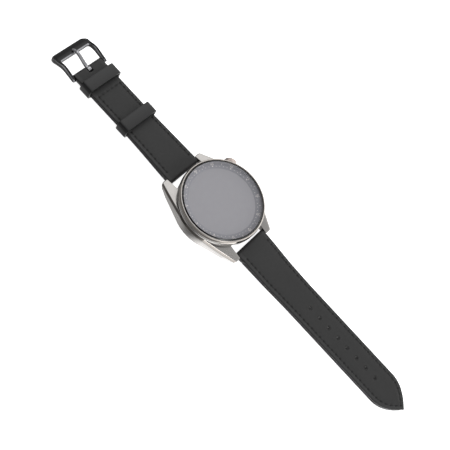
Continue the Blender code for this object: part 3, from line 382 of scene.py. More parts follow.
def brushed(name, colour_low, colour_high, roughness, depth, along=0.045, across=5.0):
    """Brushed metal: noise drawn out along U, as lines about 0.2 mm apart across V.

    Real brushing is ten times finer than that and wouldn't show. Handling adds dull
    patches about 7 mm across.
    """
    made, tree, shader = finish(name, Metallic=1.0)
    uv = add(tree, "ShaderNodeUVMap", uv_map="Surface").outputs[0]
    drawn = add(tree, "ShaderNodeMapping", {0: uv, 3: (along, across, 1.0)}).outputs[0]
    lines = add(tree, "ShaderNodeTexNoise", {"Vector": drawn, "Scale": 1.0, "Detail": 4.0,
                "Roughness": 0.65}).outputs["Fac"]
    place_in_mm = add(tree, "ShaderNodeTexCoord").outputs["Object"]
    cloud = add(tree, "ShaderNodeTexNoise", {"Vector": place_in_mm, "Scale": 140.0}).outputs["Fac"]
    colour = add(tree, "ShaderNodeMix", {0: lines, 6: linear(colour_low), 7: linear(colour_high)},
                 data_type="RGBA").outputs[2]
    worn = add(tree, "ShaderNodeMath", {0: lines, 1: cloud}, operation="ADD").outputs[0]
    rough = add(tree, "ShaderNodeMapRange", {0: worn, 1: 0.6, 2: 1.4, 3: roughness - 0.07,
                4: roughness + 0.07}).outputs[0]
    bump = add(tree, "ShaderNodeBump", {"Strength": 0.5, "Distance": depth * MM,
               "Height": lines}).outputs[0]
    wire(shader, Base_Color=colour, Roughness=rough, Normal=bump)
    return made


def polished(name, colour_low, colour_high, roughness):
    """Polished metal: only faint buffing marks and slow changes of tone, about 4 mm across."""
    made, tree, shader = finish(name, Metallic=1.0)
    spot = add(tree, "ShaderNodeTexCoord").outputs["Object"]
    cloud = add(tree, "ShaderNodeTexNoise", {"Vector": spot, "Scale": 260.0,
                "Detail": 3.0}).outputs["Fac"]
    colour = add(tree, "ShaderNodeMix", {0: cloud, 6: linear(colour_low), 7: linear(colour_high)},
                 data_type="RGBA").outputs[2]
    rough = add(tree, "ShaderNodeMapRange", {0: cloud, 3: roughness * 0.7,
                4: roughness * 1.4}).outputs[0]
    wire(shader, Base_Color=colour, Roughness=rough)
    return made


def coated(name, low, high, roughness, grain, bump=0.0, **constants):
    """A matt or glossy coating whose tone and roughness vary slowly with noise of grain mm."""
    made, tree, shader = finish(name, **constants)
    spot = add(tree, "ShaderNodeTexCoord").outputs["Object"]
    cloud = add(tree, "ShaderNodeTexNoise", {"Vector": spot, "Scale": 1000 / grain,
                "Detail": 3.0}).outputs["Fac"]
    colour = add(tree, "ShaderNodeMix", {0: cloud, 6: linear(low), 7: linear(high)},
                 data_type="RGBA").outputs[2]
    rough = add(tree, "ShaderNodeMapRange", {0: cloud, 3: roughness * 0.8,
                4: roughness * 1.2}).outputs[0]
    wire(shader, Base_Color=colour, Roughness=rough)
    if bump:
        height = add(tree, "ShaderNodeBump", {"Strength": 0.6, "Distance": bump * MM,
                     "Height": cloud}).outputs[0]
        wire(shader, Normal=height)
    return made


def pill_grid(length, height, start, end, edge, turn, z):
    """A bar with round ends along the wall, running outwards from start to end, its outer edge eased.

    The outline is two half circles joined by straight sides; it shrinks by edge * (1 - cos)
    while the reach grows by edge * sin over the last quarter turn.
    """
    radius = height / 2
    angle = np.linspace(0, 2 * np.pi, 65)
    centre = np.where(np.cos(angle - np.pi / 2) >= 0, 1, -1) * (length / 2 - radius)
    quarter = np.linspace(0, np.pi / 2, 6)
    reach = np.concatenate([[start], end - edge + edge * np.sin(quarter)])
    shrink = np.concatenate([[0], edge * (1 - np.cos(quarter))])[:, None]
    across = centre + (radius - shrink) * np.sin(angle)
    points = np.stack([np.broadcast_to(reach[:, None], across.shape), across,
                       z + (radius - shrink) * np.cos(angle)], -1)
    points[:, -1] = points[:, 0]
    uv = np.stack([points[..., 1], points[..., 2] + reach[:, None]], -1)
    c, s = math.cos(turn), math.sin(turn)
    points = closed_ends(points) @ np.array([[c, s, 0], [-s, c, 0], [0, 0, 1]])
    return grid(points, np.concatenate([uv[:1], uv, uv[-1:]]))


def joint(name):
    """Position in mm of a named joint."""
    return np.array([j["pos_m"] for j in frame["joints"] if j["name"] == name][0]) / MM


def middle_height(node):
    """Height of a CAD node's middle in mm."""
    low, high = span(node)
    return (low[2] + high[2]) / 2


# Painted shade: a black coat under the bezel's overhang, on the top of the case wall and in the bezel's
# groove, so that the joint and the groove read as dark lines.
painted_shade_black = coated("painted_shade_black", "#060606", "#0b0b0b", 0.4, 0.5)
# Grade 5 titanium, brushed along the case: a warm grey with soft, drawn-out highlights.
brushed_titanium = brushed("brushed_titanium", "#959391", "#b3b0ad", 0.24, 0.02)
# The same titanium, buffed on the chamfers and the rim: a narrow, bright, sharp highlight.
polished_titanium = polished("polished_titanium", "#b2aca6", "#c4beb8", 0.08)
m = MIDDLE
wall = rounded(np.array([(m["opening"], m["bottom"]), (m["radius"] - m["edge"], m["bottom"]),
                         (m["radius"], m["bottom"] + m["edge"]), (m["radius"], m["top"] - m["edge"]),
                         (m["radius"] - m["edge"], m["top"]), (m["shelf"], m["top"]),
                         (m["shelf"], m["shelf_bottom"]), (m["cavity"], m["shelf_bottom"]),
                         (m["cavity"], m["ledge"]), (m["opening"], m["ledge"])]), 0.12)


def wall_painted_shade(r, h):
    """Painted shade in black on the top of the wall and the last 1.4 mm of its side."""
    return np.where((r > 22.8) & (h > MIDDLE["top"] - 1.4), 2, 0)


metals = [brushed_titanium, polished_titanium, painted_shade_black]
middle = closed_mesh("middle", [turned(wall, paint=wall_painted_shade)], metals)
middle = carve(middle, closed_mesh("wings", [wing_grid(-1), wing_grid(1)], metals), "UNION")
crown_axis = np.array([math.cos(CROWN_TURN), math.sin(CROWN_TURN), 0])
crown_centre = np.array([0, 0, middle_height("crown_cap")])
button_height = middle_height("button_cap")
openings = [rod_grid(LUG_BORE["radius"], -LUG_BORE["reach"], LUG_BORE["reach"], 24, (1, 0, 0), joint(hinge))
            for hinge in ("upper_strap_hinge", "lower_strap_hinge")]
openings.append(rod_grid(CROWN_POCKET["radius"], CROWN_POCKET["floor"], CROWN_POCKET["reach"], 64, crown_axis,
                         crown_centre))
openings.append(pill_grid(**BUTTON_POCKET, turn=BUTTON_TURN, z=button_height))
middle = carve(middle, closed_mesh("openings", openings, metals))
place("case_middle", middle, "case", ["mid_case"])


# Bezel -------------------------------------------------------------------------
# A titanium ring pressed over the case: brushed round its side, with a fine turned
# groove, and a narrow polished rim next to the glass.
# radius and height of its corners: foot, overhang, side with the groove, slope, rim, seat
BEZEL_CORNERS = [(21.2, 9.4), (23.4, 9.4), (24.1, 10.1), (24.1, 11.25), (23.85, 11.35), (23.85, 11.6),
                 (24.1, 11.7), (24.1, 12.2), (23.7, 13.4), (23.4, 13.7), (23.05, 13.7), (23.05, 11.2),
                 (21.2, 11.2)]
BEZEL_ROUND = 0.07


def bezel_polish_and_painted_shade(r, h):
    """Polished above the slope; painted shade in black under the overhang and in the groove."""
    groove = (np.abs(h - 11.48) < 0.25) & (r > 23.5) & (r < 24.09)
    return np.where(h > 12.25, 1, np.where((h < 10.05) | groove, 2, 0))


bezel = turned(rounded(np.array(BEZEL_CORNERS), BEZEL_ROUND), paint=bezel_polish_and_painted_shade)
place("bezel", closed_mesh("bezel", [bezel], metals), "case", ["bezel_ring"])


# Minute ring -------------------------------------------------------------------
# A matt grey cone under the glass, with painted light that pales it towards its rim. Its printed
# minutes are dots, small bars between the fives, and two-figure numbers that stand upright for the reader.
DOT_CIRCLE = 20.0
NUMBER_CIRCLE = 21.2
NUMBER_HEIGHT = 1.9
PRINT_FOOT = -0.01
PRINT_TOP = 0.012
CONE_START = 18.8
DOT_SIZES = (0.3, 0.19)         # radius at the fives and at the other minutes
BAR_HALF = (0.5, 0.11)
PAINTED_LIGHT_RIM = (21.3, 22.6)


def flat_print(shape, start, stop):
    """Closed flat discs or bars: one (corners, 2) shape per row, between two heights."""
    count, corners = shape.shape[:2]
    levels = [np.concatenate([shape, np.full((count, corners, 1), z)], -1) for z in (start, stop)]
    middles = [np.broadcast_to(level.mean(axis=1, keepdims=True), level.shape) for level in levels]
    rows = np.stack([middles[0], levels[0], levels[1], middles[1]], 1)
    return [grid(np.concatenate([row, row[:, :1]], axis=1)) for row in rows]


# Matt grey paint with grain of half a millimetre, and painted light that pales it towards the rim.
ring_grey, tree, shader = finish("minute_ring_paint", Roughness=0.6)
spot = add(tree, "ShaderNodeTexCoord").outputs["Object"]
cloud = add(tree, "ShaderNodeTexNoise", {"Vector": spot, "Scale": 2000.0}).outputs["Fac"]
grey = add(tree, "ShaderNodeMix", {0: cloud, 6: linear("#86868c"), 7: linear("#8e8e94")},
           data_type="RGBA").outputs[2]
flat_spot = add(tree, "ShaderNodeVectorMath", {0: spot, 1: (1.0, 1.0, 0.0)},
                operation="MULTIPLY").outputs[0]
from_middle = add(tree, "ShaderNodeVectorMath", {0: flat_spot}, operation="LENGTH").outputs["Value"]
# painted light: the grey turns pale between these two radii
rim_painted_light = add(tree, "ShaderNodeMapRange", {0: from_middle, 1: PAINTED_LIGHT_RIM[0] * MM, 2: PAINTED_LIGHT_RIM[1] * MM}).outputs[0]
grey = add(tree, "ShaderNodeMix", {0: rim_painted_light, 6: grey, 7: linear("#c4c4ca")},
           data_type="RGBA").outputs[2]
wire(shader, Base_Color=grey)
# Pad-printed ink: a warm white, matt, with a grain of 0.3 mm that softens its tone.
print_white = coated("minute_print", "#d8d2cf", "#e4dedb", 0.6, 0.3)
ring_low, ring_high = span("minute_scale_ring")
ring_foot = span("display_panel")[1][2] + 0.03
ring_rim = span("cover_glass")[0][2] - 0.05
scale_outline = rounded(np.array([(CONE_START, ring_foot - 0.2), (ring_high[0], ring_low[2]),
                                  (ring_high[0], ring_rim), (CONE_START, ring_foot)]), 0.04)
ring_mesh = closed_mesh("minute_ring", [turned(scale_outline)], [ring_grey])
place("minute_ring", ring_mesh, "case", ["minute_scale_ring"])
minute = np.radians(90 - 6 * np.arange(60))
dot_size = np.where(np.arange(60) % 5 == 0, *DOT_SIZES)
round_the_dot = np.linspace(0, 2 * np.pi, 12, endpoint=False)
dots = (DOT_CIRCLE * np.stack([np.cos(minute), np.sin(minute)], -1)[:, None]
        + dot_size[:, None, None] * np.stack([np.cos(round_the_dot), np.sin(round_the_dot)], -1))
middle_angle = np.radians(90 - 15 - 30 * np.arange(12))
outward = np.stack([np.cos(middle_angle), np.sin(middle_angle)], -1)[:, None]
sideways = np.stack([-np.sin(middle_angle), np.cos(middle_angle)], -1)[:, None]
bar_corners = np.array([(-1, -1), (1, -1), (1, 1), (-1, 1)]) * BAR_HALF
bars = NUMBER_CIRCLE * outward + bar_corners[:, :1] * outward + bar_corners[:, 1:] * sideways


def laid_on_ring(mesh):
    """Lift each point of a flat mesh by the height of the ring's cone at its radius."""
    points = np.empty(len(mesh.vertices) * 3)
    mesh.vertices.foreach_get("co", points)
    points = points.reshape(-1, 3)
    share = (np.hypot(points[:, 0], points[:, 1]) / MM - CONE_START) / (ring_high[0] - CONE_START)
    points[:, 2] += MM * (ring_foot + (ring_rim - ring_foot) * share)
    mesh.vertices.foreach_set("co", points.reshape(-1))
    return mesh


prints = flat_print(dots, PRINT_FOOT, PRINT_TOP) + flat_print(bars, PRINT_FOOT, PRINT_TOP)
marks = laid_on_ring(closed_mesh("minute_marks", prints, [print_white]))
place("minute_marks", marks, "case")
for five in range(12):
    figures = bpy.data.curves.new("figures", "FONT")
    figures.body = "60" if five == 0 else f"{five * 5:02d}"
    figures.size = NUMBER_HEIGHT
    figures.align_x = figures.align_y = "CENTER"
    figures.extrude = 0.01
    lettering = bpy.data.objects.new("figures", figures)
    turn = -30 * five + (180 if 3 < five < 9 else 0)
    angle = math.radians(90 - 30 * five)
    flat = bpy.data.meshes.new_from_object(lettering)
    bpy.data.objects.remove(lettering)
    number_place = Matrix.Translation((NUMBER_CIRCLE * math.cos(angle), NUMBER_CIRCLE * math.sin(angle), 0))
    flat.transform(Matrix.Scale(MM, 4) @ number_place @ Matrix.Rotation(math.radians(turn), 4, "Z"))
    flat.materials.clear()
    flat.materials.append(print_white)
    place(f"figures_{five * 5}", laid_on_ring(flat), "case")


# Cover glass -------------------------------------------------------------------
# Sapphire, whose ground chamfer is painted black, which hides the glue and draws a dark
# line round the dial. Known fault: the mesh is only the rim, its flat faces are open.
CHAMFER = (0.5, 0.35)           # across the top and down the side
PAINTED_MARGIN = 0.8
glass_low, glass_high = span("cover_glass")
# Polished sapphire: clear, with finger smears of about 6 mm that dull its gloss a little.
sapphire, tree, shader = finish("sapphire", IOR=1.6, Transmission_Weight=1.0)
spot = add(tree, "ShaderNodeTexCoord").outputs["Object"]
smear = add(tree, "ShaderNodeTexNoise", {"Vector": spot, "Scale": 160.0, "Detail": 2.0}).outputs["Fac"]
rough = add(tree, "ShaderNodeMapRange", {0: smear, 3: 0.0, 4: 0.02}).outputs[0]
wire(shader, Roughness=rough)
glass_radius = glass_high[0]
glass_outline = rounded(np.array([(0, glass_low[2]), (glass_radius, glass_low[2]),
                                  (glass_radius, glass_high[2] - CHAMFER[1]),
                                  (glass_radius - CHAMFER[0], glass_high[2]),
                                  (glass_radius - PAINTED_MARGIN, glass_high[2]),
                                  (0, glass_high[2])]), 0.03)[5:-5]
# Black enamel on the glass edge: glossy, so the dark line keeps a thin reflection.
edge_black = coated("glass_edge_paint", "#040404", "#080808", 0.12, 0.5)


def edge_paint(r, h):
    """Black on the chamfer and on the margin of the top next to it."""
    return ((r > glass_radius - PAINTED_MARGIN) & (h > glass_high[2] - CHAMFER[1] - 0.01)).astype(int)


glass_mesh = closed_mesh("glass", [turned(glass_outline, paint=edge_paint)], [sapphire, edge_black], 15)
place("glass", glass_mesh, "case", ["cover_glass"])


# Crown and side button -----------------------------------------------------------
# The crown is a polished domed titanium knob with fine flutes round its side; the
# button is a brushed titanium bar in its recess.
CROWN_FLUTES = 48
FLUTE_DEPTH = 0.07
CROWN_RADIUS = 3.5
# radius and distance from the case's middle: foot, skirt, side, dome
# Known fault: the foot is left open inside the skirt.
CROWN_CORNERS = [(0, 26.4), (2.65, 26.4), (2.65, 25.1), (3.2, 25.1), (CROWN_RADIUS, 25.4),
                 (CROWN_RADIUS, 27.0), (3.15, 27.55), (2.17, 28.1), (0, 28.3), (0, 28.3)]
BUTTON = dict(length=6.4, height=2.4, start=23.2, end=25.3, edge=0.25)
crown_outline = rounded(np.array(CROWN_CORNERS), 0.12)[4:-4]
crown_points, *crown_faces = turned(crown_outline, CROWN_FLUTES * 8, crown_axis, crown_centre)
from_axis = crown_points - crown_centre
reach_out = from_axis @ crown_axis
spoke = from_axis - reach_out[:, None] * crown_axis
crown_radius = np.linalg.norm(spoke, axis=1)
turn_angle = np.arctan2(spoke[:, 2], spoke @ np.array([-crown_axis[1], crown_axis[0], 0]))
on_side = eased([(3.15, 0), (3.35, 1)], crown_radius) * eased([(26.9, 1), (27.2, 0)], reach_out)
flute = 1 - FLUTE_DEPTH / CROWN_RADIUS * on_side * (0.5 + 0.5 * np.cos(CROWN_FLUTES * turn_angle))
crown_points = crown_centre + reach_out[:, None] * crown_axis + spoke * flute[:, None]
# Titanium, polished and tinted: warmer than the case, with a soft bright dome.
crown_titanium = polished("crown_titanium", "#a99d97", "#bdb1ab", 0.13)
crown_mesh = closed_mesh("crown", [(crown_points, *crown_faces)], [crown_titanium])
place("crown", crown_mesh, "crown", ["crown_cap"])
button = pill_grid(**BUTTON, turn=BUTTON_TURN, z=button_height)
place("button", closed_mesh("button", [button], metals), "side_button", ["button_cap"])


# Back ----------------------------------------------------------------------------
# A black ceramic cover holds a domed window of dark glass. Under the glass sit a ring
# of light windows and the round eyes of the pulse sensor.
# radius and height of the cover's corners: window opening, outer slope, seat, step
COVER_CORNERS = [(15.8, 1.2), (20.0, 1.5), (21.2, 2.2), (21.2, 3.3), (16.9, 3.3), (16.9, 2.2), (15.8, 2.2)]
# radius and height of the window's corners: flat middle, dome, side, flange
# Known fault: the mesh is open inside a radius of 8.75 mm below and 16.35 mm above.
WINDOW_CORNERS = [(0, 0), (9, 0), (12.9, 0.35), (15.5, 1.1), (15.5, 2.5), (16.6, 2.5), (16.6, 3.0), (0, 3.0)]
EYE_COUNT = 8
EYE_CIRCLE = 9.0
EYE_RADIUS = 2.3
MIDDLE_EYE_RADIUS = 3.2
EYE_SOFTNESS = 0.1
# Fired ceramic, polished: near black with a clear wet gloss.
back_ceramic = coated("back_ceramic", "#141416", "#1b1b1e", 0.22, 2.0, Coat_Weight=0.6, Coat_Roughness=0.1)
cover_mesh = closed_mesh("back_cover", [turned(rounded(np.array(COVER_CORNERS), 0.1))], [back_ceramic])
place("back_cover", cover_mesh, "case", ["rear_cover"])
# Tinted crystal, painted black behind except over the eyes, which show as dark grey discs.
dark_glass, tree, shader = finish("dark_glass", Coat_Weight=1.0, Coat_Roughness=0.02, Roughness=0.3)
spot = add(tree, "ShaderNodeTexCoord").outputs["Object"]
axes = add(tree, "ShaderNodeSeparateXYZ", {0: spot})
flat_spot = add(tree, "ShaderNodeCombineXYZ", {"X": axes.outputs[0], "Y": axes.outputs[1]}).outputs[0]
from_middle = add(tree, "ShaderNodeVectorMath", {0: flat_spot}, operation="LENGTH").outputs["Value"]
turn_round = add(tree, "ShaderNodeMath", {0: axes.outputs[1], 1: axes.outputs[0]},
                 operation="ARCTAN2").outputs[0]
eighths = add(tree, "ShaderNodeMath", {0: turn_round, 1: EYE_COUNT / (2 * math.pi)},
              operation="MULTIPLY").outputs[0]
in_eighth = add(tree, "ShaderNodeMath", {0: eighths, 1: 1.0}, operation="FLOORED_MODULO").outputs[0]
off_centre = add(tree, "ShaderNodeMath", {0: in_eighth, 1: 0.5}, operation="SUBTRACT").outputs[0]
arc = add(tree, "ShaderNodeMath", {0: off_centre, 1: 2 * math.pi / EYE_COUNT * EYE_CIRCLE * MM},
          operation="MULTIPLY").outputs[0]
outwards = add(tree, "ShaderNodeMath", {0: from_middle, 1: EYE_CIRCLE * MM}, operation="SUBTRACT").outputs[0]
eye_place = add(tree, "ShaderNodeCombineXYZ", {"X": arc, "Y": outwards}).outputs[0]
eye_reach = add(tree, "ShaderNodeVectorMath", {0: eye_place}, operation="LENGTH").outputs["Value"]
eye = add(tree, "ShaderNodeMapRange", {0: eye_reach, 1: EYE_RADIUS * MM,
          2: (EYE_RADIUS + EYE_SOFTNESS) * MM, 3: 1.0, 4: 0.0}).outputs[0]
centre_eye = add(tree, "ShaderNodeMapRange", {0: from_middle, 1: MIDDLE_EYE_RADIUS * MM,
                 2: (MIDDLE_EYE_RADIUS + EYE_SOFTNESS) * MM, 3: 1.0, 4: 0.0}).outputs[0]
eyes = add(tree, "ShaderNodeMath", {0: eye, 1: centre_eye}, operation="MAXIMUM").outputs[0]
tone = add(tree, "ShaderNodeMix", {0: eyes, 6: linear("#08080a"), 7: linear("#2b2c33")},
           data_type="RGBA").outputs[2]
wire(shader, Base_Color=tone)
window_outline = rounded(np.array(WINDOW_CORNERS), 0.25)[4:-5]
window_mesh = closed_mesh("sensor_window_glass", [turned(window_outline)], [dark_glass])
place("sensor_window_glass", window_mesh, "case", ["sensor_window"])


# Leather of the two strap halves ---------------------------------------------------
# Fine calf leather dyed black, folded round the bars at its ends and glued to a lining.
# The cut edges are sealed with black paint; the thread lies in a pressed line. Distances
# run along the strap from its spring bar.
STRAP_HALF = (11.0, 10.0)
STRAP_TAPER = 38.0
STITCH_START = 4.5
STITCH_INSET = 2.2
STITCH_PITCH = 3.1
THREAD_HALF = 0.21
LEATHER_EDGE = 0.45
TOP_LAYER = 1.35
SPRING_BAR_FOLD = 1.9
BUCKLE_BAR_FOLD = 1.5
TAIL_END = 119.7
TAIL_RUN = 17.0
TIP_HALF = 0.35
TIP_EDGE = 0.5
ROW_STEP = 0.36
LEAST_END = 0.0004      # leaves a round end a sliver of thickness, so that it closes
FOLD_END = 76.2
BUCKLE_BAR = 74.1
CROSS_STITCH = 58.3
HOLES = 46.5 + 7.2 * np.arange(8)
HOLE_RADIUS = 0.9
TOOL_REACH = 14
SPRING_BAR_BORE = 1.15
BUCKLE_BAR_BORE = 0.95
KNOB_SLOT = dict(inner=5.65, outer=8.55, half=0.75, depth=4)
TONGUE_SLOT = dict(half=1.5, before=2.3, past=4, low=-3, high=9)


def half_width(s, tail):
    """Half the strap's width at a distance from the spring bar, drawn to a point at the tail."""
    half = STRAP_HALF[0] + (STRAP_HALF[1] - STRAP_HALF[0]) * np.clip(s / STRAP_TAPER, 0, 1)
    if tail:
        t = np.clip((s - TAIL_END + TAIL_RUN) / TAIL_RUN, 0, 1)
        half = np.maximum(half * (1 - t ** 2.2), TIP_HALF)
    return half


def strap_heights(s, tail):
    """Bottom and top of the whole strap: thicker round the spring bar, closed in a round end."""
    thick = eased([(4, 3.8), (30, 3.0)], s)
    middle_z = eased([(2, joint("lower_strap_hinge")[2]), (24, 1.5 if tail else 2.9)], s)
    thick = thick * np.sqrt(np.clip(1 - (np.minimum(s, 0) / SPRING_BAR_FOLD) ** 2, LEAST_END, 1))
    if not tail:
        past = np.maximum(s - FOLD_END + BUCKLE_BAR_FOLD, 0)
        thick = thick * np.sqrt(np.clip(1 - (past / BUCKLE_BAR_FOLD) ** 2, LEAST_END, 1))
    return middle_z - thick / 2, middle_z + thick / 2


def leather_layer(s, tail):
    """How far the leather is split down to its thin top layer, 0 where it is folded full."""
    return eased([(3, 0), (6, 1)] if tail else [(3, 0), (6, 1), (64.5, 1), (67.5, 0)], s)


def stitch_path(tail):
    """The line of stitches as (s, w) points: along both sides, round the tail or across."""
    s = np.linspace(STITCH_START, TAIL_END if tail else CROSS_STITCH, 500)
    edge = np.stack([s, half_width(s, tail)], -1)
    along = np.gradient(edge, axis=0)
    normal = np.stack([along[:, 1], -along[:, 0]], -1) / np.linalg.norm(along, axis=1)[:, None]
    side = edge + normal * STITCH_INSET
    side = side[side[:, 1] > 0]
    if not tail:
        across = np.linspace(side[-1, 1], 0, 60)[1:]
        side = np.concatenate([side, np.stack([np.full_like(across, side[-1, 0]), across], -1)])
    return np.concatenate([side, side[::-1] * (1, -1)])


def stitch_starts(tail):
    """The stitch path, the needle holes' distances along it and the path's running length."""
    path = stitch_path(tail)
    length = np.concatenate([[0], np.cumsum(np.linalg.norm(np.diff(path, axis=0), axis=1))])
    return path, np.linspace(0, length[-1], int(length[-1] // STITCH_PITCH) + 1), length


def nearest(points, path):
    """Distance from each (s, w) point to the nearest point of a path."""
    gaps = [np.linalg.norm(block[:, None] - path[None], axis=-1).min(axis=1)
            for block in np.array_split(points, 40)]
    return np.concatenate(gaps)


def sheet_grid(s, half, bottom, top, edge, fine):
    """A flat piece lofted along s with rounded edges; fine columns lie near the stitches.

    Returns points as (s, w, z), with rows along s and columns round the section, a mark of
    1 for the columns on the rounded edges, and whether each column is in the upper half.
    """
    share = np.concatenate([np.linspace(1, 0.88, 5), np.linspace(0.87, 0.66, 2 + 16 * fine),
                            np.linspace(0.62, 0, 9)])
    share = np.concatenate([share, -share[-2::-1]])
    quarter = np.linspace(0, np.pi / 2, 4)
    few = np.linspace(-1, 1, 9)
    across = np.concatenate([np.ones(8), share[1:-1], -np.ones(8), few[1:-1], [1]])
    angle = np.concatenate([quarter - np.pi / 2, quarter, np.full(len(share) - 2, np.pi / 2),
                            quarter + np.pi / 2, quarter + np.pi, np.full(len(few) - 2, 1.5 * np.pi),
                            [-np.pi / 2]])
    upper = np.concatenate([[0] * 4, [1] * (len(share) + 6), [0] * (len(few) + 3)]).astype(bool)
    radius = np.minimum(np.minimum(edge, 0.48 * (top - bottom)), 0.5 * half)[:, None]
    w = across * (half[:, None] - radius) + radius * np.cos(angle)
    z = np.where(upper, top[:, None] - radius, bottom[:, None] + radius) + radius * np.sin(angle)
    points = np.stack([np.broadcast_to(s[:, None], w.shape), w, z], -1)
    rim = np.broadcast_to((np.abs(np.cos(angle)) > 0.8).astype(float), w.shape)
    return points, rim, upper


def strap_frame(points, side):
    """(s, w, z) in the strap half on the +y side (1) or the -y side (-1) to x, y, z."""
    start = abs(joint("upper_strap_hinge")[1])
    return np.stack([side * points[..., 1], side * (start + points[..., 0]), points[..., 2]], -1)


def leather_grid(tail):
    """The leather of one half with its pressed stitch line and hole rims.

    The top sinks by gaussians of the distance to the stitch line and to the holes' rims,
    and rises a little between the lines where the padding lies.
    """
    end = np.sin(np.linspace(0, np.pi / 2, 8))
    stop = TAIL_END - TIP_EDGE if tail else FOLD_END - BUCKLE_BAR_FOLD
    last = stop + (TIP_EDGE if tail else BUCKLE_BAR_FOLD) * end[1:]
    rows = int((TAIL_END if tail else stop) / ROW_STEP)
    s = np.concatenate([-SPRING_BAR_FOLD * end[::-1], np.linspace(0.35, stop, rows), last])
    half = half_width(s, tail)
    bottom, top = strap_heights(s, tail)
    layer = leather_layer(s, tail)
    bottom = bottom + (top - TOP_LAYER - bottom) * layer
    if tail:
        shrink = LEATHER_EDGE * (1 - np.sqrt(np.clip(1 - ((s - stop).clip(0) / TIP_EDGE) ** 2, 0, 1)))
        top, bottom = top - shrink, bottom + shrink
    points, rim, upper = sheet_grid(s, half, bottom, top, LEATHER_EDGE, 1)
    flat = points[..., :2].reshape(-1, 2)
    path, starts, length = stitch_starts(tail)
    # the thread's line is pressed 0.12 mm deep, and 0.3 mm more at each needle hole
    needle = np.stack([np.interp(starts, length, path[:, k]) for k in (0, 1)], -1)
    ditch = np.exp(-(nearest(flat, path).reshape(rim.shape) / 0.34) ** 2) * (1 - rim)
    pressed = np.exp(-(nearest(flat, needle).reshape(rim.shape) / 0.68) ** 4) * (1 - rim)
    inside = np.clip((half[:, None] - 3.0 - np.abs(points[..., 1])) / 2.0, 0, 1)
    relief = -0.12 * ditch - 0.3 * pressed + 0.10 * inside * layer[:, None]
    if tail:
        hole_centres = np.stack([HOLES, np.zeros_like(HOLES)], -1)
        to_hole = np.abs(nearest(flat, hole_centres).reshape(rim.shape) - HOLE_RADIUS)
        relief -= 0.12 * np.exp(-(to_hole / 0.3) ** 2) - 0.06 * np.exp(-((to_hole - 0.75) / 0.3) ** 2)
        # painted shade: the holes' rims join the pressed mask, which darkens them in the material
        pressed = np.maximum(pressed, np.exp(-(to_hole / 0.3) ** 2))
    points[..., 2] += np.where(upper & (rim < 0.5), relief, 0)
    margin = np.where(half[:, None] - np.abs(points[..., 1]) < STITCH_INSET, -0.5, 0)
    # the pressed mask goes into U, where the material paints shade into the needle pits and the holes' rims
    uv = np.stack([np.where(upper, pressed, 0), np.where(rim > 0, 1, margin)], -1)
    points = strap_frame(closed_ends(points), -1 if tail else 1)
    return grid(points, np.concatenate([uv[:1], uv, uv[-1:]]))


def stitch_grids(tail):
    """Stitches as short arched cords of four-sided section, one row each along the stitch path."""
    path, starts, length = stitch_starts(tail)
    t = np.linspace(0, 1, 6)
    at = starts[:-1, None] + STITCH_PITCH * (0.18 + 0.64 * t)
    s, w = (np.interp(at, length, path[:, k]) for k in (0, 1))
    direction = np.stack([np.gradient(s, axis=1), np.gradient(w, axis=1)], -1)
    direction /= np.linalg.norm(direction, axis=-1, keepdims=True)
    _, top = strap_heights(s, tail)
    arch = top - 0.13 - 0.22 * (2 * t - 1) ** 4
    thick = THREAD_HALF * np.sqrt(np.clip(1 - (2 * t - 1) ** 4 * 0.8, 0.1, 1))
    spin = np.linspace(0, 2 * np.pi, 7)
    sideways = np.stack([-direction[..., 1], direction[..., 0]], -1)
    points = np.stack([s, w, arch], -1)[:, :, None] + np.zeros((7, 1))
    points[..., :2] += (thick[:, None] * np.cos(spin))[None, ..., None] * sideways[:, :, None]
    points[..., 2] += thick[:, None] * np.sin(spin)
    points[..., -1, :] = points[..., 0, :]
    points = strap_frame(points, -1 if tail else 1)
    return [grid(closed_ends(each)) for each in points]


def cross_rod(radius, reach_x, y, z):
    """A rod along x, as a tool to cut with."""
    return rod_grid(radius, -reach_x, reach_x, 32, (1, 0, 0), (0, y, z))


def box_grid(low, high):
    """A block between two corners, as a tool to cut with."""
    corners = np.array([(low[0], low[1]), (high[0], low[1]), (high[0], high[1]), (low[0], high[1]),
                        (low[0], low[1])])
    rows = np.stack([np.concatenate([corners, np.full((5, 1), z)], -1) for z in (low[2], high[2])])
    return grid(closed_ends(rows))


def lay_flat(start, stop, tail):
    """Work out the area of a strip of leather from its width and length; nothing uses the area."""
    s = np.linspace(start, stop, 400)
    area = np.mean(2 * half_width(s, tail)) * (stop - start)


# Calf leather, dyed through and lightly finished: a soft black with pores of about half a
# millimetre, creases of 1.4 mm and dye that varies over 11 mm. Painted shade darkens the needle
# pits and the punched holes' rims, the margin outside the stitches is paler, and the painted edge is
# smoother.
leather, tree, shader = finish("black_leather", Specular_IOR_Level=0.45)
spot = add(tree, "ShaderNodeTexCoord").outputs["Object"]
uv_marks = add(tree, "ShaderNodeSeparateXYZ", {0: add(tree, "ShaderNodeUVMap", uv_map="Surface").outputs[0]})
pressed_shade_mark, paint_mark = uv_marks.outputs[0], uv_marks.outputs[1]
margin_mark = add(tree, "ShaderNodeMapRange", {0: paint_mark, 1: -0.5, 2: 0.0, 3: 1.0, 4: 0.0}).outputs[0]
pores = add(tree, "ShaderNodeTexVoronoi", {"Vector": spot, "Scale": 2200.0}).outputs["Distance"]
creases = add(tree, "ShaderNodeTexNoise", {"Vector": spot, "Scale": 700.0, "Detail": 5.0}).outputs["Fac"]
dye = add(tree, "ShaderNodeTexNoise", {"Vector": spot, "Scale": 90.0, "Detail": 3.0}).outputs["Fac"]
colour = linear("#1d1d1d")
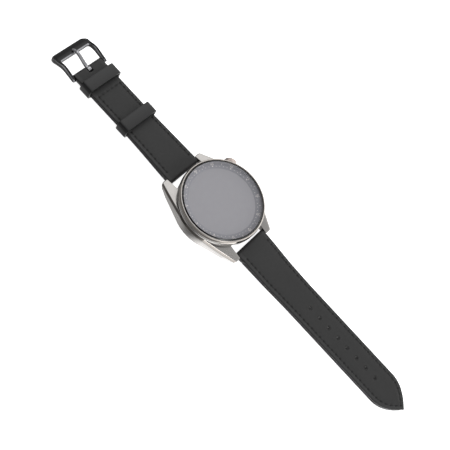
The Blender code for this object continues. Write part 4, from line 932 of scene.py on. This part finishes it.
for mark, shade in ((dye, "#232323"), (margin_mark, "#292929"), (pressed_shade_mark, "#060606"),
                    (paint_mark, "#0c0c0d")):
    colour = add(tree, "ShaderNodeMix", {0: mark, 6: colour, 7: linear(shade)}, data_type="RGBA").outputs[2]
rough = add(tree, "ShaderNodeMapRange", {0: creases, 3: 0.50, 4: 0.66}).outputs[0]
rough = add(tree, "ShaderNodeMix", {0: paint_mark, 2: rough, 3: 0.35}, data_type="FLOAT").outputs[0]
grain = add(tree, "ShaderNodeMath", {0: pores, 1: creases}, operation="ADD").outputs[0]
bump = add(tree, "ShaderNodeBump", {"Strength": 0.35, "Distance": 0.05 * MM, "Height": grain}).outputs[0]
wire(shader, Base_Color=colour, Roughness=rough, Normal=bump)
# Waxed linen thread: matt near-black with a twist of 0.2 mm.
thread = coated("linen_thread", "#171718", "#202021", 0.75, 0.2, 0.05)
bar_height = middle_height("buckle_bar")
for tail, body in ((False, "upper_strap"), (True, "lower_strap")):
    side = -1 if tail else 1
    start = joint(f"{body}_hinge")
    mesh = closed_mesh(f"{body}_leather_surface", [leather_grid(tail)], [leather], 50)
    spring_bore = cross_rod(SPRING_BAR_BORE, TOOL_REACH, start[1], start[2])
    mesh = carve(mesh, closed_mesh("bore", [spring_bore], [leather]), sharp=50)
    knob_x = sorted((side * KNOB_SLOT["inner"], side * KNOB_SLOT["outer"]))
    knob = box_grid((knob_x[0], start[1] - KNOB_SLOT["half"], start[2] - KNOB_SLOT["depth"]),
                    (knob_x[1], start[1] + KNOB_SLOT["half"], start[2]))
    mesh = carve(mesh, closed_mesh("knob_slot", [knob], [leather]), sharp=50)
    if tail:
        punches = [rod_grid(HOLE_RADIUS, -3, 6, 32, (0, 0, 1), (0, start[1] - s, 0)) for s in HOLES]
        mesh = carve(mesh, closed_mesh("punches", punches, [leather]), sharp=50)
    else:
        bar_y = start[1] + BUCKLE_BAR
        bar_bore = cross_rod(BUCKLE_BAR_BORE, TOOL_REACH, bar_y, bar_height)
        mesh = carve(mesh, closed_mesh("bar_bore", [bar_bore], [leather]), sharp=50)
        slot = box_grid((-TONGUE_SLOT["half"], bar_y - TONGUE_SLOT["before"], TONGUE_SLOT["low"]),
                        (TONGUE_SLOT["half"], bar_y + TONGUE_SLOT["past"], TONGUE_SLOT["high"]))
        mesh = carve(mesh, closed_mesh("tongue_slot", [slot], [leather]), sharp=50)
    stitch_mesh = closed_mesh(f"{body}_stitches", stitch_grids(tail), [thread])
    stitches = place(f"{body}_stitches", stitch_mesh, body)
    strip = place(f"{body}_leather_piece", mesh, body, [f"{body}_leather"])
    lay_flat(-SPRING_BAR_FOLD, TAIL_END if tail else FOLD_END, tail)


# Linings ---------------------------------------------------------------------------
# A thinner layer of smooth black calf under each half, glued on and cut flush. It starts
# where the leather is split down, and ends short of the tail's tip or the buckle's fold.
LINING_START = 4.0
LINING_END = 66.0
LINING_TIP_GAP = 0.6
LINING_INSET = 0.05
GLUE = 0.02
# Smooth calf, dyed and unpolished: a dull black with a grain of 0.4 mm.
lining_leather = coated("lining_leather", "#1b1b1c", "#242425", 0.6, 0.4, 0.04)
for tail, body in ((False, "upper_strap"), (True, "lower_strap")):
    stop = TAIL_END - LINING_TIP_GAP if tail else LINING_END
    s = np.concatenate([np.linspace(LINING_START, 7.0, 10), np.linspace(7.6, stop - 0.6, int(stop)),
                        [stop - 0.3, stop - 0.1, stop]])
    bottom, top = strap_heights(s, tail)
    leather_bottom = bottom + (top - TOP_LAYER - bottom) * leather_layer(s, tail)
    bevel = np.zeros(len(s))
    bevel[[-2, -1]] = (0.06, 0.2)
    half = half_width(s, tail) - LINING_INSET - bevel
    points, _, _ = sheet_grid(s, half, bottom + bevel, leather_bottom - GLUE - bevel, 0.35, 0)
    lining = grid(strap_frame(closed_ends(points), -1 if tail else 1))
    lining_mesh = closed_mesh(f"{body}_lining_surface", [lining], [lining_leather], 50)
    if tail:
        lining_mesh = carve(lining_mesh, closed_mesh("punches", punches, [lining_leather]), sharp=50)
    strip = place(f"{body}_lining_piece", lining_mesh, body, [f"{body}_lining"])
    lay_flat(s[0], s[-1], tail)


# Keepers -----------------------------------------------------------------------------
# Two loops of folded leather, flat on top, with painted edges; one is fixed behind the
# buckle and the other slides along the strap.
KEEPER_WALL = 1.1
KEEPER_CORNER = 2.3
KEEPER_EDGE = 0.22


def loop_grid(low, high, wall, corner):
    """A loop swept round a rounded rectangle in x and z, its section a strip with eased edges."""
    width = high[1] - low[1]
    outer, inner = (rounded(np.array([(low[0] + step, low[2] + step), (high[0] - step, low[2] + step),
                                      (high[0] - step, high[2] - step), (low[0] + step, high[2] - step)]),
                            corner - step, 9) for step in (0, wall))
    section = rounded(np.array([(0, -width / 2), (1, -width / 2), (1, width / 2), (0, width / 2)])
                      * (wall, 1), KEEPER_EDGE, 4) / (wall, 1)
    middle_y = (low[1] + high[1]) / 2
    plan = outer[:, None] + (inner - outer)[:, None] * section[None, :, :1]
    along_y = np.broadcast_to(middle_y + section[:, 1], plan.shape[:2])
    points = np.stack([plan[..., 0], along_y, plan[..., 1]], -1)
    rim = (np.abs(section[:, 1]) > width / 2 - 0.25).astype(float)
    uv = np.stack(np.broadcast_arrays(np.zeros_like(rim), rim), -1)
    return grid(points, np.broadcast_to(uv, (*points.shape[:2], 2)))


for node, body in (("fixed_keeper", "upper_strap"), ("sliding_keeper", "keeper_slide")):
    low, high = span(node)
    loop = loop_grid(low, high, KEEPER_WALL, KEEPER_CORNER)
    place(f"{node}_loop", closed_mesh(f"{node}_loop", [loop], [leather], 50), body, [node])


# Buckle and its tongue ---------------------------------------------------------------
# Steel stamped and polished, then coated black: an arched frame with a wide front bar, and
# a slim tongue that turns on the bar and rests on the front.
BUCKLE = dict(inner=10.3, outer=12.2, back=-1.55, arm_round=1.75, opening=11.3, front=17.2, corner=2.6,
              inner_corner=1.2, edge=0.7)
BAR_BORE = dict(radius=0.67, reach=11.52)
TONGUE = dict(half=1.05, bore=0.95, eye=1.8, start=1.1, landing=10.3, tip=13.7, height=1.3, tip_height=0.7,
              tip_round=0.8, above_frame=0.3)
pivot = joint("buckle_swing")


def frame_heights(y):
    """Bottom and top of the buckle at distances from its bar: arms arched, front bar low."""
    top = eased([(-2, 4.5), (7.5, 6.3), (13.2, 4.6), (17.2, 2.6)], y)
    bottom = eased([(-2, 1.7), (7.5, 3.0), (17.2, 0)], y)
    close = np.sqrt(np.clip(1 - (np.clip(0.2 - y, 0, None) / BUCKLE["arm_round"]) ** 2, 0, 1))
    middle_z = (top + bottom) / 2
    return middle_z + (bottom - middle_z) * close, middle_z + (top - middle_z) * close


def buckle_plan(half, front, corner):
    """Half widths and reaches from one arm's end round the front to the other's."""
    arm_end = BUCKLE["arm_round"] * (1 - np.cos(np.linspace(0.05, np.pi / 2, 8)))
    arm_y = np.concatenate([BUCKLE["back"] + arm_end, np.linspace(0.4, front - corner, 26)[1:]])
    turn = np.linspace(0, np.pi / 2, 10)[1:]
    x = np.concatenate([np.full(len(arm_y), -half), -half + corner * (1 - np.cos(turn))])
    y = np.concatenate([arm_y, front - corner * (1 - np.sin(turn))])
    middle_x = np.linspace(x[-1], 0, 8)[1:]
    x = np.concatenate([x, middle_x])
    y = np.concatenate([y, np.full(len(middle_x), front)])
    return np.concatenate([np.stack([x, y], -1), np.stack([-x, y], -1)[-2::-1]])


outer_plan = buckle_plan(BUCKLE["outer"], BUCKLE["front"], BUCKLE["corner"])
inner_plan = buckle_plan(BUCKLE["inner"], BUCKLE["opening"], BUCKLE["inner_corner"])
bar_width = np.linalg.norm(inner_plan - outer_plan, axis=1)[:, None]
share = np.array([0, 0, 0.5, 1, 1]) + np.array([0, 1, 0, -1, 0]) * BUCKLE["edge"] / bar_width
drop = np.array([1, 0, 0, 0, 1]) * BUCKLE["edge"]
plan = outer_plan[:, None] + (inner_plan - outer_plan)[:, None] * share[..., None]
low, high = frame_heights(plan[..., 1])
thickness = high - low
high = high - np.minimum(drop, 0.3 * thickness)
low = low + np.minimum(drop / 2, 0.2 * thickness)
section = np.concatenate([np.concatenate([plan, high[..., None]], -1),
                          np.concatenate([plan, low[..., None]], -1)[:, ::-1]], axis=1)
section = rounded(section, 0.14, 3) + (0, pivot[1], 0)
# Steel with a black vapour coating over a polish: deep black with sharp reflections.
black_steel = coated("black_steel", "#060606", "#0a0a0b", 0.14, 4.0, Specular_IOR_Level=0.3)
# Grey polished steel for the tongue, and as a painted highlight on the frame's bevels: a grey metallic line.
grey_steel_and_bevel_highlight = polished("grey_steel_and_painted_bevel_highlight", "#97979a", "#a5a5a8", 0.16)
finishes = [black_steel, grey_steel_and_bevel_highlight]
# painted highlight: the frame's bevel faces get the grey steel
painted_highlight_faces = np.zeros(section.shape[1] - 1, int)
painted_highlight_faces[[1, 2, 11, 12]] = 1
buckle_mesh = closed_mesh("buckle", [grid(closed_ends(section), paint=painted_highlight_faces)], finishes)
bore = closed_mesh("bore", [cross_rod(BAR_BORE["radius"], BAR_BORE["reach"], pivot[1], pivot[2])], finishes)
place("buckle", carve(buckle_mesh, bore), "buckle", ["buckle_frame"])
y = np.linspace(TONGUE["start"], TONGUE["tip"], 40)
rest_height = frame_heights(y)[1] + TONGUE["above_frame"]
landing_height = np.interp(TONGUE["landing"], y, rest_height)
rise = eased([(TONGUE["start"], pivot[2]), (TONGUE["landing"], landing_height)], y)
low = np.where(y < TONGUE["landing"], rise, rest_height)
high = low + eased([(TONGUE["tip"] - 1.5, TONGUE["height"]), (TONGUE["tip"], TONGUE["tip_height"])], y)
half = eased([(TONGUE["start"], TONGUE["half"]), (TONGUE["tip"], TONGUE["half"] - 0.2)], y)
past = np.clip(y - TONGUE["tip"] + TONGUE["tip_round"], 0, None)
round_tip = np.sqrt(np.clip(1 - (past / TONGUE["tip_round"]) ** 2, 0.02, 1))
half = half * round_tip
corners = np.stack([np.stack([sx * half, y, np.where(sz > 0, high - 0.35 * abs(sx) ** 8, low)], -1)
                    for sx, sz in ((-1, 0), (1, 0), (1, 1), (0.6, 1), (-0.6, 1), (-1, 1))], 1)
arm = closed_ends(rounded(corners, 0.2, 4) + (0, pivot[1], 0))
eye_outline = rounded(np.array([(TONGUE["bore"], -TONGUE["half"]), (TONGUE["eye"], -TONGUE["half"]),
                                (TONGUE["eye"], TONGUE["half"]), (TONGUE["bore"], TONGUE["half"])]), 0.18)
eye_ring = closed_mesh("eye", [turned(eye_outline, 64, (1, 0, 0), pivot)], [grey_steel_and_bevel_highlight])
tongue = carve(eye_ring, closed_mesh("arm", [grid(arm)], [grey_steel_and_bevel_highlight]), "UNION")
place("tongue", tongue, "tongue", ["buckle_tongue"])


# Parts inside and small pins -----------------------------------------------------------
# The remaining nodes keep their own shape and get their real material: spring bars and
# screws of turned steel, moulded frames, gaskets, the screen, board, battery and coils.
# Stainless steel off the lathe: a cool grey with a slightly blurred shine.
turned_steel = polished("turned_steel", "#a9a9a8", "#bcbcbb", 0.22)
# Turned titanium, left unpolished: warmer and duller than the steel.
stem_titanium = polished("stem_titanium", "#a9a29b", "#b9b2ab", 0.25)
# The unlit screen: a diffusing film, an even cool grey with tone that varies over 3 mm.
screen_grey = coated("screen_panel", "#959499", "#9b9a9f", 0.5, 3.0)
# Moulded nitrile rubber: dull black with the fine grain of its mould.
nitrile = coated("nitrile_seal", "#121213", "#1a1a1b", 0.7, 0.5, 0.02)
# Glass-filled nylon, spark-eroded mould: dark grey, satin, with grain of 0.3 mm.
moulded = coated("moulded_plastic", "#1c1d1f", "#26272a", 0.55, 0.3, 0.02)
# Solder lacquer over glass cloth: a dark green, half glossy.
board_green = coated("board_lacquer", "#0d3a24", "#144a2f", 0.4, 1.0)
# The cell's rolled aluminium pouch: silvery and a little wrinkled.
cell_foil = coated("cell_foil", "#9a9b9e", "#adaeb1", 0.35, 1.5, 0.03, Metallic=0.8)
# Enamelled copper wire, wound flat: a brownish metal with a grain one wire wide.
copper_wire = coated("copper_wire", "#9c5a35", "#b87346", 0.35, 0.2, 0.03, Metallic=1.0)
# The buckle's bar: steel with the same black coating, worn a little shinier.
coated_bar = coated("coated_bar", "#262627", "#2f2f30", 0.2, 1.0, Metallic=1.0, Coat_Weight=1.0)
KEPT = {
    turned_steel: ["upper_bar_tube", "lower_bar_tube", "upper_release_pin", "lower_release_pin",
                   "frame_screw_1", "frame_screw_2", "frame_screw_3", "frame_screw_4", "speaker",
                   "vibration_motor"],
    stem_titanium: ["crown_stem", "crown_collar", "crown_tube", "button_stem"],
    screen_grey: ["display_panel"],
    nitrile: ["crown_seal", "glass_gasket", "rear_gasket"],
    moulded: ["inner_frame", "button_switch"],
    board_green: ["main_board", "sensor_board"],
    cell_foil: ["battery"],
    copper_wire: ["charging_coil"],
    coated_bar: ["buckle_bar"],
}
for material, nodes in KEPT.items():
    for node in nodes:
        frame["nodes"][node].data.materials.clear()
        frame["nodes"][node].data.materials.append(material)
